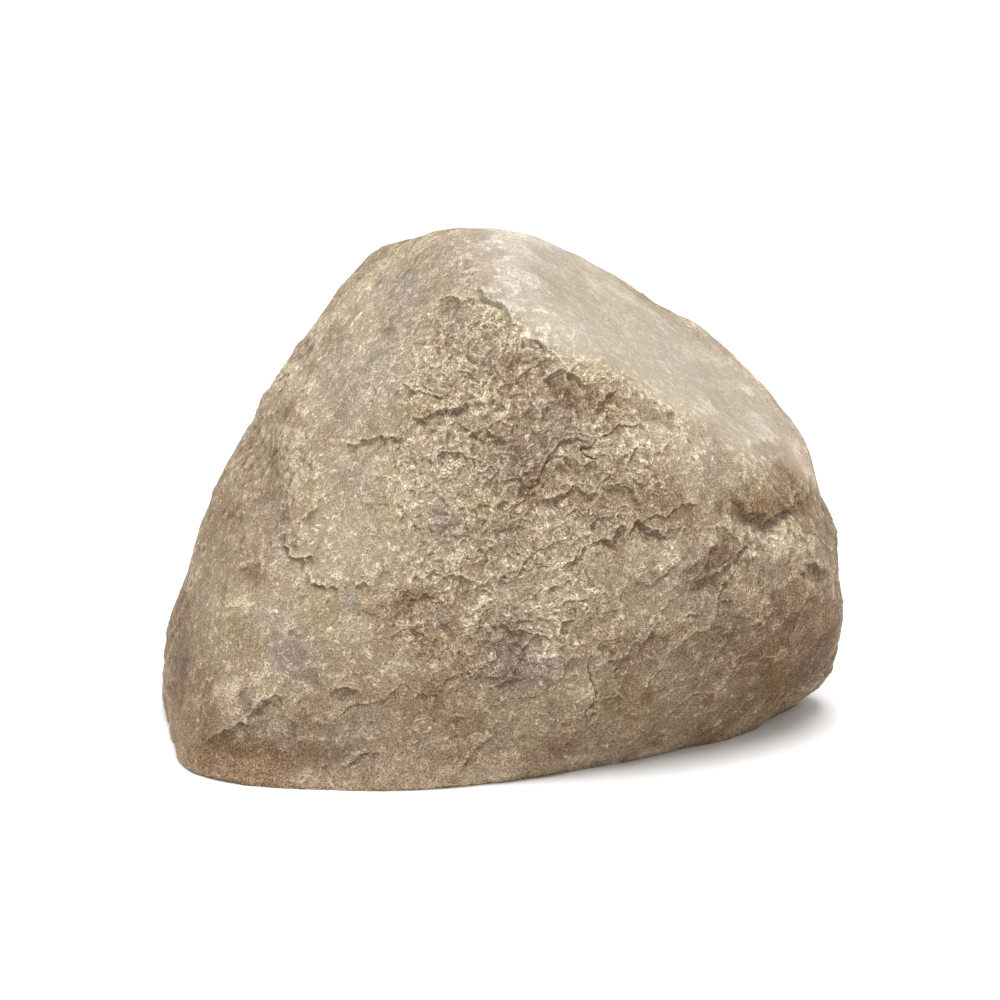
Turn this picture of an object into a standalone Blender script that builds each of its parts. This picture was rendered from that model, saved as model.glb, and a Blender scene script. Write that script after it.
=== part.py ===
# A sandstone boulder, 0.8 m long, in one piece. It stands on a flat cut face.
#
# The stone is made in three steps:
# 1. the form: broad weathered faces round a middle point, with rounded ridges between them;
# 2. the relief: ledges, shelves, cracks, lumps and hollows, moved outwards from the middle;
# 3. the base: everything below the ground is cut off flat.
#
# +X is to the right and -Y towards someone who faces the front, +Z is up, and the ground is z = 0.
# A feature's place is given as someone sees it from its side of the stone, with the eye a little
# above level: millimetres across and millimetres up from the stone's middle point.

import math

import bmesh
import bpy
import numpy as np

# ---------------------------------------------------------------- driving dimensions
MIDDLE = np.array([0.003, -0.077, 0.270])   # metres; the faces' distances are measured from here
RIDGE_SHARPNESS = 15.0                      # the higher, the crisper the ridges between faces
FOOT = 0.020                                # metres of stone below the ground, to be cut off
VIEW_DISTANCE = 3.2                         # metres from the viewer's eye to the middle
VIEW_HEIGHT = 15.0                          # degrees by which the eye is above level
EDGE_OF_SIGHT = (-60.0, 20.0)               # mm before the middle over which a side's features fade in

LIP = 4.0                                   # mm in which a ledge's edge falls away
RAGGED = 6.0                                # mm by which edges wander
SPHERE_STEPS = 8                            # subdivisions of the starting sphere
SOLID_TRIANGLES = 10400                     # triangles left before the foot is cut off

STONE_COLOUR = (0.42, 0.33, 0.23, 1.0)
STONE_ROUGHNESS = 0.92

# Broad faces: degrees round from the front towards +X, degrees up, metres from the middle.
FACES = {
    "front_left": (-31, 28, 0.243),
    "front_middle": (-2, 8, 0.226),
    "front_right": (35, 9, 0.312),
    "lower_front": (20, -24, 0.306),
    "lower_right": (44, -36, 0.350),
    "right_side": (86, 6, 0.408),
    "right_shoulder": (77, 19, 0.368),
    "top_slope": (63, 51, 0.272),
    "top_back": (119, 53, 0.306),
    "apex": (-36, 77, 0.341),
    "upper_left": (-71, 41, 0.266),
    "left_side": (-70, 19, 0.304),
    "left_back": (-88, -6, 0.449),
    "lower_left": (-29, -14, 0.409),
    "back": (177, 17, 0.303),
    "back_right": (134, 4, 0.311),
    "back_left": (-127, 17, 0.301),
    "back_top": (168, 65, 0.310),
}

# Low swells and dips that the skyline shows: mm high, degrees of half width, degrees round, degrees up.
SWELLS = [
    (-3, 9, -95, -4), (-7, 10, -94, -15), (1, 8, -94, -23), (-9, 17, -82, -34), (-8, 13, -39, -41),
    (-4, 14, 34, -52), (7, 13, 75, -45), (-10, 12, 95, -38), (4.5, 8, 93, -30), (-6, 8, 88, -12),
    (5, 8, 88, -6), (-4, 8, 90, 2), (-5, 7, 98, 18), (-2, 7, 105, 26), (3, 9, 110, 36),
    (-5, 9, 116, 45), (-1, 9, 122, 57), (2, 9, 105, 81), (-3, 9, -124, 81), (2, 8, -132, 57),
    (-4, 12, -112, 38), (-6, 5, -107, 26), (-4, 9, -101, 17), (-4, 8, -100, 6),
]

# Broken plates: metres across, mm of relief. They lie along the beds, which rise to the right.
PLATE_SIZE = 0.052
PLATE_RELIEF = 3.2
PLATE_STRETCH = (0.62, 0.8, 1.0)            # along the beds, towards the back, across the beds
BED_NORMAL = (-90, 62)                      # degrees round, degrees up

# Where the front is crumbly: mm across and up, half length, half width, degrees of turn, strength.
CRUMBLY = [
    (24, 118, 124, 112, -20, 1.0),
    (106, 35, 142, 88, -10, 1.0),
    (-24, 35, 94, 106, 0, 0.8),
    (0, -130, 130, 94, 0, 0.7),
]
PLAIN_FRONT = 0.38                          # how rough the rest of the front is
# The smooth top slope starts above this line: mm across, mm up.
SLOPE_EDGE = [(-71, 321), (-26, 254), (24, 210), (73, 163), (118, 151), (177, 120), (236, 80), (289, 45),
              (342, 35), (389, -24)]

# A ledge's upper side stands proud and drops away along a line: mm proud, mm of drop, mm of reach
# above the line, mm of hollow below it, and the line from left to right.
FRONT_LEDGES = {
    "top_overhang": (3, 10, 14, 22, [(-76, 228), (-61, 235), (-47, 237), (-33, 232), (-26, 222)]),
    "top_scarp": (3, 8, 14, 24, [(-31, 244), (-14, 236), (4, 223), (22, 204)]),
    "middle_scarp": (3, 9, 14, 24, [(26, 195), (42, 188), (57, 173), (73, 157)]),
    "hollow_roof": (3, 14, 12, 22, [(51, 127), (57, 140), (67, 149), (85, 145), (101, 135), (111, 124)]),
    "right_scarp": (2, 8, 14, 18, [(106, 142), (120, 151), (139, 143), (158, 131), (198, 107), (241, 78)]),
    "inner_lip": (2, 7, 8, 12, [(106, 104), (120, 114), (137, 126)]),
    "west_lip": (2, 6, 8, 12, [(42, 90), (47, 103), (58, 110), (66, 104)]),
    "left_ledge": (4, 8, 20, 18, [(-106, 93), (-88, 98), (-71, 104), (-50, 106), (-28, 113)]),
    "long_ledge": (3, 4, 22, 16, [(-189, 60), (-168, 66), (-144, 72), (-124, 73), (-104, 79)]),
    "upper_arc": (3, 6, 12, 14, [(-47, 73), (-33, 81), (-17, 81), (0, 74), (12, 64)]),
    "lower_arc": (2, 4, 10, 10, [(-30, 30), (-17, 38), (0, 33)]),
    "wavy_ledge": (4, 6, 16, 16, [(40, -2), (73, 5), (85, 13), (104, 8), (118, 17), (136, 21), (168, 8)]),
    "strong_ledge_left": (4, 9, 20, 22, [(66, -73), (83, -66), (94, -55), (106, -48), (122, -42), (146, -46)]),
    "strong_ledge_right": (4, 9, 18, 22, [(118, -39), (146, -32), (158, -26), (171, -32), (208, -42)]),
    "plate_edge": (3, 5, 20, 16, [(160, -25), (179, -17), (194, -17), (204, -11), (222, -4), (243, -7)]),
    "low_arc": (3, 5, 14, 16, [(-118, -110), (-104, -110), (-90, -112), (-71, -117)]),
    "slit": (4, 5, 20, 14, [(-231, -99), (-217, -96), (-203, -99), (-184, -106)]),
    "chin": (6, 8, 40, 60, [(-363, -288), (-335, -275), (-304, -261), (-290, -251), (-264, -229), (-248, -224)]),
    "pit_lip": (2, 6, 10, 12, [(350, -91), (363, -80), (380, -79)]),
}
BACK_LEDGES = {
    "back_bed": (5, 10, 26, 24, [(-210, 52), (-120, 84), (-40, 74), (40, 104), (130, 92)]),
    "back_step": (4, 9, 24, 22, [(-70, -66), (30, -42), (110, -56), (210, -30)]),
    "back_shelf": (3, 8, 20, 20, [(-250, -84), (-170, -60), (-100, -74)]),
    "back_brow": (3, 7, 20, 18, [(-20, 172), (60, 192), (130, 174)]),
    "back_foot": (3, 7, 20, 20, [(40, -170), (130, -150), (220, -166)]),
}
LEFT_LEDGES = {
    "left_bed": (4, 9, 24, 24, [(-330, -104), (-230, -78), (-130, -92), (-50, -66)]),
    "left_step": (3, 8, 22, 20, [(-220, 44), (-140, 70), (-50, 54)]),
    "left_foot": (3, 7, 20, 20, [(-260, -190), (-170, -168), (-80, -182)]),
}
RIGHT_LEDGES = {
    "right_bed": (4, 9, 24, 24, [(40, 58), (110, 88), (200, 80), (290, 104)]),
    "right_step": (3, 8, 22, 22, [(60, -96), (140, -70), (220, -82), (310, -56)]),
    "right_foot": (3, 7, 20, 20, [(20, -180), (110, -158), (190, -170)]),
}

# A shelf's lower side stands proud: mm of step, mm over which the upper side slopes into it.
FRONT_SHELVES = {
    "notch_floor": (12, 16, [(293, -9), (302, -22), (316, -26), (333, -22), (342, -9)]),
    "curved_shelf": (12, 24, [(222, -94), (241, -86), (257, -77), (273, -68), (283, -54), (293, -33)]),
    "slanting_step": (5, 11, [(104, -203), (118, -192), (135, -190), (144, -177), (169, -150), (184, -144)]),
    "pit_floor": (7, 12, [(358, -98), (368, -109), (385, -117)]),
    "short_streak": (4, 9, [(295, -130), (303, -117), (313, -104)]),
    "long_streak": (4, 10, [(255, -171), (264, -158), (275, -139)]),
    "low_shelf": (7, 20, [(286, -198), (307, -194), (328, -198), (345, -194)]),
}

# A crack: mm deep, mm of half width.
FRONT_CRACKS = {
    "upright_crack": (5, 4, [(109, -179), (105, -198), (106, -215), (111, -229), (105, -262), (111, -283)]),
    "notch_crack": (5, 4, [(337, -5), (345, 5), (352, 21), (355, 33)]),
}

# Lumps and hollows: mm high (below nought, deep), mm of half length and half width, degrees of
# turn, and the middle's place.
FRONT_LUMPS = {
    "top_hollow": (-8, 32, 13, 0, -44, 225),
    "rusty_hollow": (-7, 19, 13, 25, -71, 192),
    "rusty_lump": (3, 18, 13, 0, -51, 181),
    "lipped_hollow": (-8, 24, 19, -40, -27, 160),
    "upper_hollow": (-7, 18, 15, 0, 14, 165),
    "scarp_hollow": (-10, 32, 19, -30, 48, 156),
    "left_dimple": (-7, 18, 15, 0, -53, 136),
    "deep_hollow_wall": (-12, 24, 21, 60, 64, 125),
    "deep_hollow": (-14, 27, 18, 0, 91, 118),
    "deep_hollow_right": (-9, 27, 18, 30, 123, 111),
    "deep_hollow_foot": (-9, 24, 16, 20, 47, 97),
    "trough": (-8, 68, 15, -24, 177, 103),
    "trough_tail": (-3, 38, 12, -32, 236, 80),
    "bright_bulge": (5, 53, 21, 6, 144, 66),
    "small_bulge": (4, 21, 15, 0, 71, 53),
    "upper_bulge": (4, 24, 21, 0, 28, 118),
    "left_bulge": (3, 29, 15, 0, -71, 80),
    "brown_hollow": (-7, 22, 12, 0, 92, 38),
    "middle_dimple": (-3, 21, 13, 0, -15, -8),
    "shoulder_pit": (-7, 25, 12, 0, 312, 59),
    "notch": (-18, 40, 22, 8, 316, -11),
    "notch_slope": (-6, 50, 29, 30, 328, 7),
    "under_notch": (6, 50, 29, 0, 330, -47),
    "ridge_to_notch": (5, 47, 16, -42, 295, 35),
    "curved_hollow": (-7, 44, 15, 38, 262, -66),
    "cheek": (5, 47, 21, 12, 264, -106),
    "side_pit": (-10, 24, 16, -30, 368, -96),
    "side_ridge": (4, 21, 9, -25, 368, -118),
    "low_hollow": (-10, 38, 18, 12, 319, -184),
    "low_plate": (3, 35, 24, 20, 165, -179),
    "slanting_hollow": (-3, 35, 21, 35, 120, -132),
    "wide_hollow": (-3, 29, 21, 30, 165, -104),
    "middle_bulge": (3, 21, 24, 0, 76, -118),
    "arc_bulge": (3, 24, 15, 0, -65, -106),
    "left_pit": (-8, 21, 15, 0, -295, -92),
    "under_left_pit": (3, 27, 24, 0, -303, -120),
    "left_lump": (4, 41, 21, -15, -236, -38),
    "band_hollow": (-4, 74, 24, 0, -88, -47),
    "centre_hollow": (-3, 35, 21, 0, 0, -61),
    "patch_hollow": (-4, 50, 44, 20, 14, -172),
    "patch_bulge": (3, 32, 18, 0, 54, -182),
    "crack_bulge": (3, 27, 21, 0, 94, -224),
    "chin_plate": (5, 68, 47, 25, -307, -224),
    "chin_recess": (-11, 59, 53, 30, -281, -281),
    "chin_foot": (-5, 65, 27, 5, -297, -316),
    "small_pit": (-3, 21, 12, 0, -222, -209),
    "low_dimple": (-3, 35, 13, 0, -183, -231),
    "pale_bulge": (3, 44, 29, 0, -177, -151),
    "arc_hollow": (-6, 32, 15, 0, -97, -113),
    "low_band": (-3, 88, 24, 10, 71, -286),
    "edge_notch": (-5, 13, 12, 0, -258, 149),
    "knob": (7, 10, 16, 0, -405, -212),
    "shoulder": (3, 59, 74, 0, -151, 236),
}
BACK_LUMPS = {
    "back_hollow": (-10, 80, 46, 12, -70, 14),
    "back_bulge": (8, 90, 52, -8, 120, -96),
    "back_pit": (-7, 34, 24, 20, 190, 40),
    "back_brow_hollow": (-6, 60, 26, 10, 40, 150),
    "back_low_hollow": (-8, 70, 34, -6, -170, -130),
}
LEFT_LUMPS = {
    "left_hollow": (-9, 70, 44, 10, -190, 6),
    "left_cheek": (6, 60, 40, 0, -250, -140),
    "left_back_pit": (-6, 30, 20, 15, -110, -130),
}
RIGHT_LUMPS = {
    "right_hollow": (-9, 70, 42, -10, 170, 20),
    "right_cheek": (6, 64, 40, 10, 230, -120),
    "right_back_pit": (-6, 30, 20, 0, 110, -130),
}

# Each side's features: degrees round from the front, ledges, shelves, cracks, lumps.
SIDES = (
    (0, FRONT_LEDGES, FRONT_SHELVES, FRONT_CRACKS, FRONT_LUMPS),
    (90, RIGHT_LEDGES, {}, {}, RIGHT_LUMPS),
    (180, BACK_LEDGES, {}, {}, BACK_LUMPS),
    (-90, LEFT_LEDGES, {}, {}, LEFT_LUMPS),
)


# ---------------------------------------------------------------- the form
def direction(round_from_front, up):
    """Unit vector that points round_from_front degrees towards +X from the front, and up degrees up."""
    turn, rise = math.radians(round_from_front), math.radians(up)
    return np.array([math.sin(turn) * math.cos(rise), -math.cos(turn) * math.cos(rise), math.sin(rise)])


def form_radius(away):
    """How far the form lies from the middle along each unit vector, in metres.

    One face alone would give distance / cosine. The faces meet as a power mean, which rounds their
    ridges, and the foot cuts them off flat below the ground.
    """
    total = np.zeros(len(away))
    for round_from_front, up, distance in FACES.values():
        cosine = away @ direction(round_from_front, up)
        total += np.maximum(cosine / distance, 0.0) ** RIDGE_SHARPNESS
    to_foot = (MIDDLE[2] + FOOT) / np.maximum(-away[:, 2], 1e-6)
    return np.minimum(total ** (-1.0 / RIDGE_SHARPNESS), to_foot)


def seen_from(points, side):
    """Millimetres across, up and nearer than the middle, as the viewer on that side sees the points."""
    back = direction(side, VIEW_HEIGHT)
    right = np.array([math.cos(math.radians(side)), math.sin(math.radians(side)), 0.0])
    above = np.cross(back, right)
    offset = points - MIDDLE
    near = offset @ back
    scale = 1000.0 * VIEW_DISTANCE / (VIEW_DISTANCE - near)
    return offset @ right * scale, offset @ above * scale, near * 1000.0


# ---------------------------------------------------------------- noise
def cell_hash(cell, seed):
    """A repeatable 32-bit number for each whole-number cell."""
    value = cell[:, 0] * 374761393 + cell[:, 1] * 668265263 + cell[:, 2] * 2147483647 + seed * 974634777
    value = value & 0xFFFFFFFF
    value = ((value ^ (value >> 13)) * 1274126177) & 0xFFFFFFFF
    value = ((value ^ (value >> 16)) * 2246822519) & 0xFFFFFFFF
    return value ^ (value >> 15)


def hash_vector(value):
    """Three numbers from 0 to 1 out of each hash."""
    return np.stack([value & 1023, (value >> 10) & 1023, (value >> 20) & 1023], axis=1) / 1023.0


def noise(points, size, seed):
    """Smooth lumps about size metres apart, from about -1 to 1 (gradient noise)."""
    place = points / size
    cell = np.floor(place).astype(np.int64)
    inside = place - cell
    ease = inside ** 3 * (inside * (inside * 6 - 15) + 10)
    total = np.zeros(len(points))
    for corner in np.ndindex(2, 2, 2):
        slope = hash_vector(cell_hash(cell + corner, seed)) * 2 - 1
        weight = np.prod(np.where(np.array(corner) == 1, ease, 1 - ease), axis=1)
        total += np.sum(slope * (inside - corner), axis=1) * weight
    return total * 1.5


def smooth_step(value, low, high):
    """0 up to low, 1 from high on, and an S-curve between them."""
    part = np.clip((value - low) / (high - low), 0.0, 1.0)
    return part * part * (3 - 2 * part)


# ---------------------------------------------------------------- the features
def line_distance(across, up, line):
    """Distance to a line of points, above nought on its upper side, and how far along it (0 to 1)."""
    points = np.array(line, dtype=float)
    steps = np.diff(points, axis=0)
    lengths = np.hypot(steps[:, 0], steps[:, 1])
    starts = np.concatenate([[0.0], np.cumsum(lengths)])
    distance = np.full(len(across), np.inf)
    along = np.zeros(len(across))
    for (x, y), (run, rise), length, start in zip(points, steps, lengths, starts):
        dx, dy = across - x, up - y
        part = np.clip((dx * run + dy * rise) / length ** 2, 0.0, 1.0)
        gap = np.hypot(dx - part * run, dy - part * rise)
        gap = np.where(run * dy - rise * dx >= 0, gap, -gap)
        nearer = np.abs(gap) < np.abs(distance)
        distance = np.where(nearer, gap, distance)
        along = np.where(nearer, start + part * length, along)
    return distance, along / starts[-1]


def taper(along):
    """1 along a line's middle, falling to 0 at its two ends."""
    return smooth_step(along, 0.0, 0.14) * smooth_step(1 - along, 0.0, 0.14)


def ledge(across, up, proud, drop, reach, under, line):
    distance, along = line_distance(across, up, line)
    above = proud * np.exp(-np.maximum(distance, 0) / reach)
    edge = np.exp(np.minimum(distance, 0) / LIP)
    below = proud * edge - drop * (1 - edge) * np.exp(np.minimum(distance, 0) / under)
    return np.where(distance >= 0, above, below) * taper(along)


def shelf(across, up, step, slope, line):
    distance, along = line_distance(across, up, line)
    above = -step * np.exp(-np.maximum(distance, 0) / slope) * (1 - np.exp(-np.maximum(distance, 0) / LIP))
    below = 0.25 * step * np.exp(np.minimum(distance, 0) / slope) * (1 - np.exp(np.minimum(distance, 0) / LIP))
    return np.where(distance >= 0, above, below) * taper(along)


def crack(across, up, depth, half_width, line):
    distance, along = line_distance(across, up, line)
    return -depth * np.exp(-(distance / half_width) ** 2) * taper(along)


def lump(across, up, high, half_length, half_width, turn, at_across, at_up):
    cosine, sine = math.cos(math.radians(turn)), math.sin(math.radians(turn))
    dx, dy = across - at_across, up - at_up
    long_way = (dx * cosine + dy * sine) / half_length
    short_way = (dy * cosine - dx * sine) / half_width
    return high * np.maximum(1 - long_way ** 2 - short_way ** 2, 0.0) ** 2


def side_features(points, side, ledges, shelves, cracks, lumps):
    """Millimetres outwards from the features of one side."""
    across, up, near = seen_from(points, side)
    in_sight = smooth_step(near, *EDGE_OF_SIGHT)
    across = across + RAGGED * noise(points, 0.036, 31) + 0.4 * RAGGED * noise(points, 0.014, 33)
    up = up + RAGGED * noise(points, 0.036, 32) + 0.4 * RAGGED * noise(points, 0.014, 34)
    total = np.zeros(len(points))
    for shape, features in ((ledge, ledges), (shelf, shelves), (crack, cracks), (lump, lumps)):
        for values in features.values():
            total += shape(across, up, *values)
    return total * in_sight


def swells(away):
    """Millimetres outwards from the low swells, along each unit vector."""
    total = np.zeros(len(away))
    for high, half_width, round_from_front, up in SWELLS:
        cosine = np.clip(away @ direction(round_from_front, up), -1.0, 1.0)
        total += high * np.maximum(1 - (np.degrees(np.arccos(cosine)) / half_width) ** 2, 0.0) ** 2
    return total


def roughness(points):
    """0 where the stone is weathered smooth, up to 1 where it is crumbly."""
    across, up, near = seen_from(points, 0)
    front = smooth_step(near, -47.0, 47.0)
    crumbly = np.zeros(len(points))
    for at_across, at_up, half_length, half_width, turn, strength in CRUMBLY:
        cosine, sine = math.cos(math.radians(turn)), math.sin(math.radians(turn))
        long_way = ((across - at_across) * cosine + (up - at_up) * sine) / half_length
        short_way = ((up - at_up) * cosine - (across - at_across) * sine) / half_width
        patch = strength * (1 - smooth_step(np.hypot(long_way, short_way), 0.65, 1.35))
        crumbly = np.maximum(crumbly, patch)
    edge_across, edge_up = np.array(SLOPE_EDGE, dtype=float).T
    above_edge = up - np.interp(across, edge_across, edge_up)
    slope = smooth_step(above_edge, -5.0, 12.0) * smooth_step(across, -71.0, -24.0)
    elsewhere = 0.35 + 0.45 * smooth_step(noise(points, 0.16, 91), -0.25, 0.45)
    value = elsewhere * (1 - front) + front * (PLAIN_FRONT + (1 - PLAIN_FRONT) * crumbly)
    return np.clip(value * (1 - 0.86 * slope * front), 0.0, 1.0)


def plates(points, size, seed):
    """Relief of broken plates, from about -1 to 1.

    Each point belongs to the nearest of many scattered seeds. A seed's plate has its own level and
    tilt, is a little hollow, and thickens downwards, so that it ends below in a small overhang.
    """
    wander = np.stack([noise(points, 0.05, 11), noise(points, 0.05, 12), noise(points, 0.05, 13)], axis=1)
    shifted = points + 0.014 * wander
    normal = direction(*BED_NORMAL)
    inwards = np.array([0.0, 1.0, 0.0])
    axes = np.stack([np.cross(inwards, normal), inwards, normal], axis=1)
    place = shifted @ axes * np.array(PLATE_STRETCH) / size
    cell = np.floor(place).astype(np.int64)
    inside = place - cell
    nearest = np.full(len(points), np.inf)
    height = np.zeros(len(points))
    for corner in np.ndindex(3, 3, 3):
        neighbour = np.array(corner) - 1
        from_seed = inside - neighbour - hash_vector(cell_hash(cell + neighbour, seed))
        wild = hash_vector(cell_hash(cell + neighbour, seed + 50)) * 2 - 1
        squared = np.sum(from_seed ** 2, axis=1)
        plate = 0.45 * wild[:, 0] - 1.1 * from_seed[:, 2] + 0.5 * np.sum(from_seed * wild, axis=1)
        plate += 0.6 * squared
        height = np.where(squared < nearest, plate, height)
        nearest = np.minimum(nearest, squared)
    return height


def relief(points):
    """Millimetres outwards at each point of the plain form: broad waves, plates and the features."""
    rough = roughness(points)
    outwards = 4.0 * noise(points, 0.20, 1) + 2.4 * noise(points, 0.10, 2) + 1.6 * noise(points, 0.05, 3)
    outwards += PLATE_RELIEF * rough * plates(points, PLATE_SIZE, 21)
    for side, ledges, shelves, cracks, lumps in SIDES:
        outwards += side_features(points, side, ledges, shelves, cracks, lumps)
    return outwards


# ---------------------------------------------------------------- the solid
def stone_material():
    material = bpy.data.materials.new("sandstone")
    material.use_nodes = True
    shader = material.node_tree.nodes["Principled BSDF"]
    shader.inputs["Base Color"].default_value = STONE_COLOUR
    shader.inputs["Roughness"].default_value = STONE_ROUGHNESS
    shader.inputs["Metallic"].default_value = 0.0
    return material


def new_object(name, mesh, collection):
    thing = bpy.data.objects.new(name, mesh)
    collection.objects.link(thing)
    return thing


def make_boulder(collection):
    """A sphere whose points are moved out to the stone's surface."""
    sphere = bmesh.new()
    bmesh.ops.create_icosphere(sphere, subdivisions=SPHERE_STEPS, radius=1.0)
    mesh = bpy.data.meshes.new("boulder")
    sphere.to_mesh(mesh)
    sphere.free()

    away = np.empty(len(mesh.vertices) * 3)
    mesh.vertices.foreach_get("co", away)
    away = away.reshape(-1, 3)
    away /= np.linalg.norm(away, axis=1, keepdims=True)
    radius = form_radius(away)
    radius += (relief(MIDDLE + away * radius[:, None]) + swells(away)) / 1000.0
    surface = MIDDLE + away * radius[:, None]
    mesh.vertices.foreach_set("co", np.round(surface, 5).ravel())
    mesh.update()
    mesh.shade_smooth()
    mesh.materials.append(stone_material())
    return new_object("boulder", mesh, collection)


def make_ground_cutter(collection):
    """A block whose top is the ground, larger than the stone's foot."""
    block = bmesh.new()
    bmesh.ops.create_cube(block, size=2.0)
    mesh = bpy.data.meshes.new("ground_cutter")
    block.to_mesh(mesh)
    block.free()
    cutter = new_object("ground_cutter", mesh, collection)
    cutter.location = (0.0, 0.0, -1.0)
    cutter.display_type = "WIRE"
    cutter.hide_render = True
    return cutter


def thin_and_cut(boulder, cutter):
    """Fewer triangles where the stone is plain, then a flat base at the ground."""
    thin = boulder.modifiers.new("thin", "DECIMATE")
    thin.decimate_type = "COLLAPSE"
    thin.ratio = SOLID_TRIANGLES / len(boulder.data.polygons)
    thin.use_collapse_triangulate = True
    cut = boulder.modifiers.new("flat_base", "BOOLEAN")
    cut.operation = "DIFFERENCE"
    cut.solver = "EXACT"
    cut.object = cutter


def main():
    for thing in list(bpy.data.objects):
        bpy.data.objects.remove(thing)
    parts = bpy.data.collections.new("boulder")
    cutters = bpy.data.collections.new("cutters")
    bpy.context.scene.collection.children.link(parts)
    bpy.context.scene.collection.children.link(cutters)

    boulder = make_boulder(parts)
    cutter = make_ground_cutter(cutters)
    thin_and_cut(boulder, cutter)


main()
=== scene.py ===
# A weathered sandstone boulder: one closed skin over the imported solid, with its own stone finish.
#
# The skin is the solid's form carried further: broad faces, swells, ledges and broken plates as in
# the solid, then the chips, lips and cracks that the solid leaves out. Places on a side are given on
# an upright board through the stone's middle, as someone sees it from 3.2 m away with the eye 15
# degrees up: 1000 by 1000 steps of 1.18 mm, x to the right, y down, the middle at (500, 500).

import math
import bmesh
import bpy
import numpy as np
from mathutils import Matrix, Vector


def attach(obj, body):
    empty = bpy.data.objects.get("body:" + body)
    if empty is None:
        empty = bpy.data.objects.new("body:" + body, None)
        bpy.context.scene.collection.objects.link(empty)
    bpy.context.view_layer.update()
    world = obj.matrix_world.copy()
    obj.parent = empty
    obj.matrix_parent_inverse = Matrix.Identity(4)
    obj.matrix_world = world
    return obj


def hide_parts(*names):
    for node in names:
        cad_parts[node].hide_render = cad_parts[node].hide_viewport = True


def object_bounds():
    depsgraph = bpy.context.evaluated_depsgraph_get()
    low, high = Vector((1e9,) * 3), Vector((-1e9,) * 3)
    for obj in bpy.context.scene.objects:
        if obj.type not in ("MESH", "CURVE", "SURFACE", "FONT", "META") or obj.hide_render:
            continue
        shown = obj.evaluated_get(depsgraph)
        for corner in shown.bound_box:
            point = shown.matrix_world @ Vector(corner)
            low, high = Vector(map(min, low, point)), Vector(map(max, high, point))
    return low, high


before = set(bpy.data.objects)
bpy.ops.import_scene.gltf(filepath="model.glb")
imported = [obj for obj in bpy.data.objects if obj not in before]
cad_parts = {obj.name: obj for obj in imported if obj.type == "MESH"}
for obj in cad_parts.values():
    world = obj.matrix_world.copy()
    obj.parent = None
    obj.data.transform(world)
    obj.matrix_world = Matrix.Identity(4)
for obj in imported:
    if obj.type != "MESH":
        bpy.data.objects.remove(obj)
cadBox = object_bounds()

stoneForm = {
    "middle": (0.003, -0.077, 0.270),   # metres, the faces' distances start here
    "ridgeSharpness": 15.0,             # higher is crisper ridges
    "grid": 300,                        # squares along each edge of the six grids
    "frontPull": 0.34,                  # how far the grids crowd towards the front
    "triangles": 190000,                # what the skin is thinned to
    "lip": 1.7,                         # mm in which a ledge's edge falls away
    "browLip": 3.5,                     # lips that a brow's rounder edge falls away in
    "shelfLip": 1.2,
    "ragged": 6.0,                      # mm by which edges wander
    "lineReach": 8.0,                   # mm either side of a ledge in which the finish follows it
    "groundSharpness": 60.0,            # how crisply the ground cuts the faces off
    "footHeight": 0.003,                # metres, what lies lower is pressed flat
    "boxGap": 0.0004,                   # metres by which the skin stays inside the solid's box
    "seamGap": 2e-5,                    # metres, grid points nearer than this are one
    "sideFade": (-60, 20),              # mm before the middle where a side's features fade in
}
viewer = {"away": 3.2, "up": 15.0, "step": 1.18}
# How much of a feature's millimetres shows.
shares = {"drop": 0.75, "above": 0.6, "below": 0.25, "lump": 0.55, "broken": 0.9}

middle = np.array(stoneForm["middle"])

# Broad faces: degrees round from the front to the right, degrees up, metres from the middle.
broadFaces = {
    "frontLeft": (-31, 28, 0.243), "frontMiddle": (-2, 8, 0.226), "frontRight": (35, 9, 0.312),
    "lowerFront": (20, -24, 0.306), "lowerRight": (44, -36, 0.350), "rightSide": (86, 6, 0.408),
    "rightShoulder": (77, 19, 0.368), "topSlope": (63, 51, 0.272), "topBack": (119, 53, 0.306),
    "apex": (-36, 77, 0.341), "upperLeft": (-71, 41, 0.266), "leftSide": (-70, 19, 0.304),
    "leftBack": (-88, -6, 0.449), "lowerLeft": (-29, -14, 0.409), "back": (177, 17, 0.303),
    "backRight": (134, 4, 0.311), "backLeft": (-127, 17, 0.301), "backTop": (168, 65, 0.310),
}

# Low swells of the skyline: mm high, degrees of half width, degrees round, degrees up.
swells = [
    (-3, 9, -95, -4), (-7, 10, -94, -15), (1, 8, -94, -23), (-9, 17, -82, -34), (-8, 13, -39, -41),
    (-4, 14, 34, -52), (7, 13, 75, -45), (-10, 12, 95, -38), (4.5, 8, 93, -30), (-6, 8, 88, -12),
    (5, 8, 88, -6), (-4, 8, 90, 2), (-5, 7, 98, 18), (-2, 7, 105, 26), (3, 9, 110, 36),
    (-5, 9, 116, 45), (-1, 9, 122, 57), (2, 9, 105, 81), (-3, 9, -124, 81), (2, 8, -132, 57),
    (-4, 12, -112, 38), (-7, 6, -101, 36), (-6, 5, -107, 26), (-4, 9, -101, 17), (-4, 8, -100, 6),
]

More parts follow.
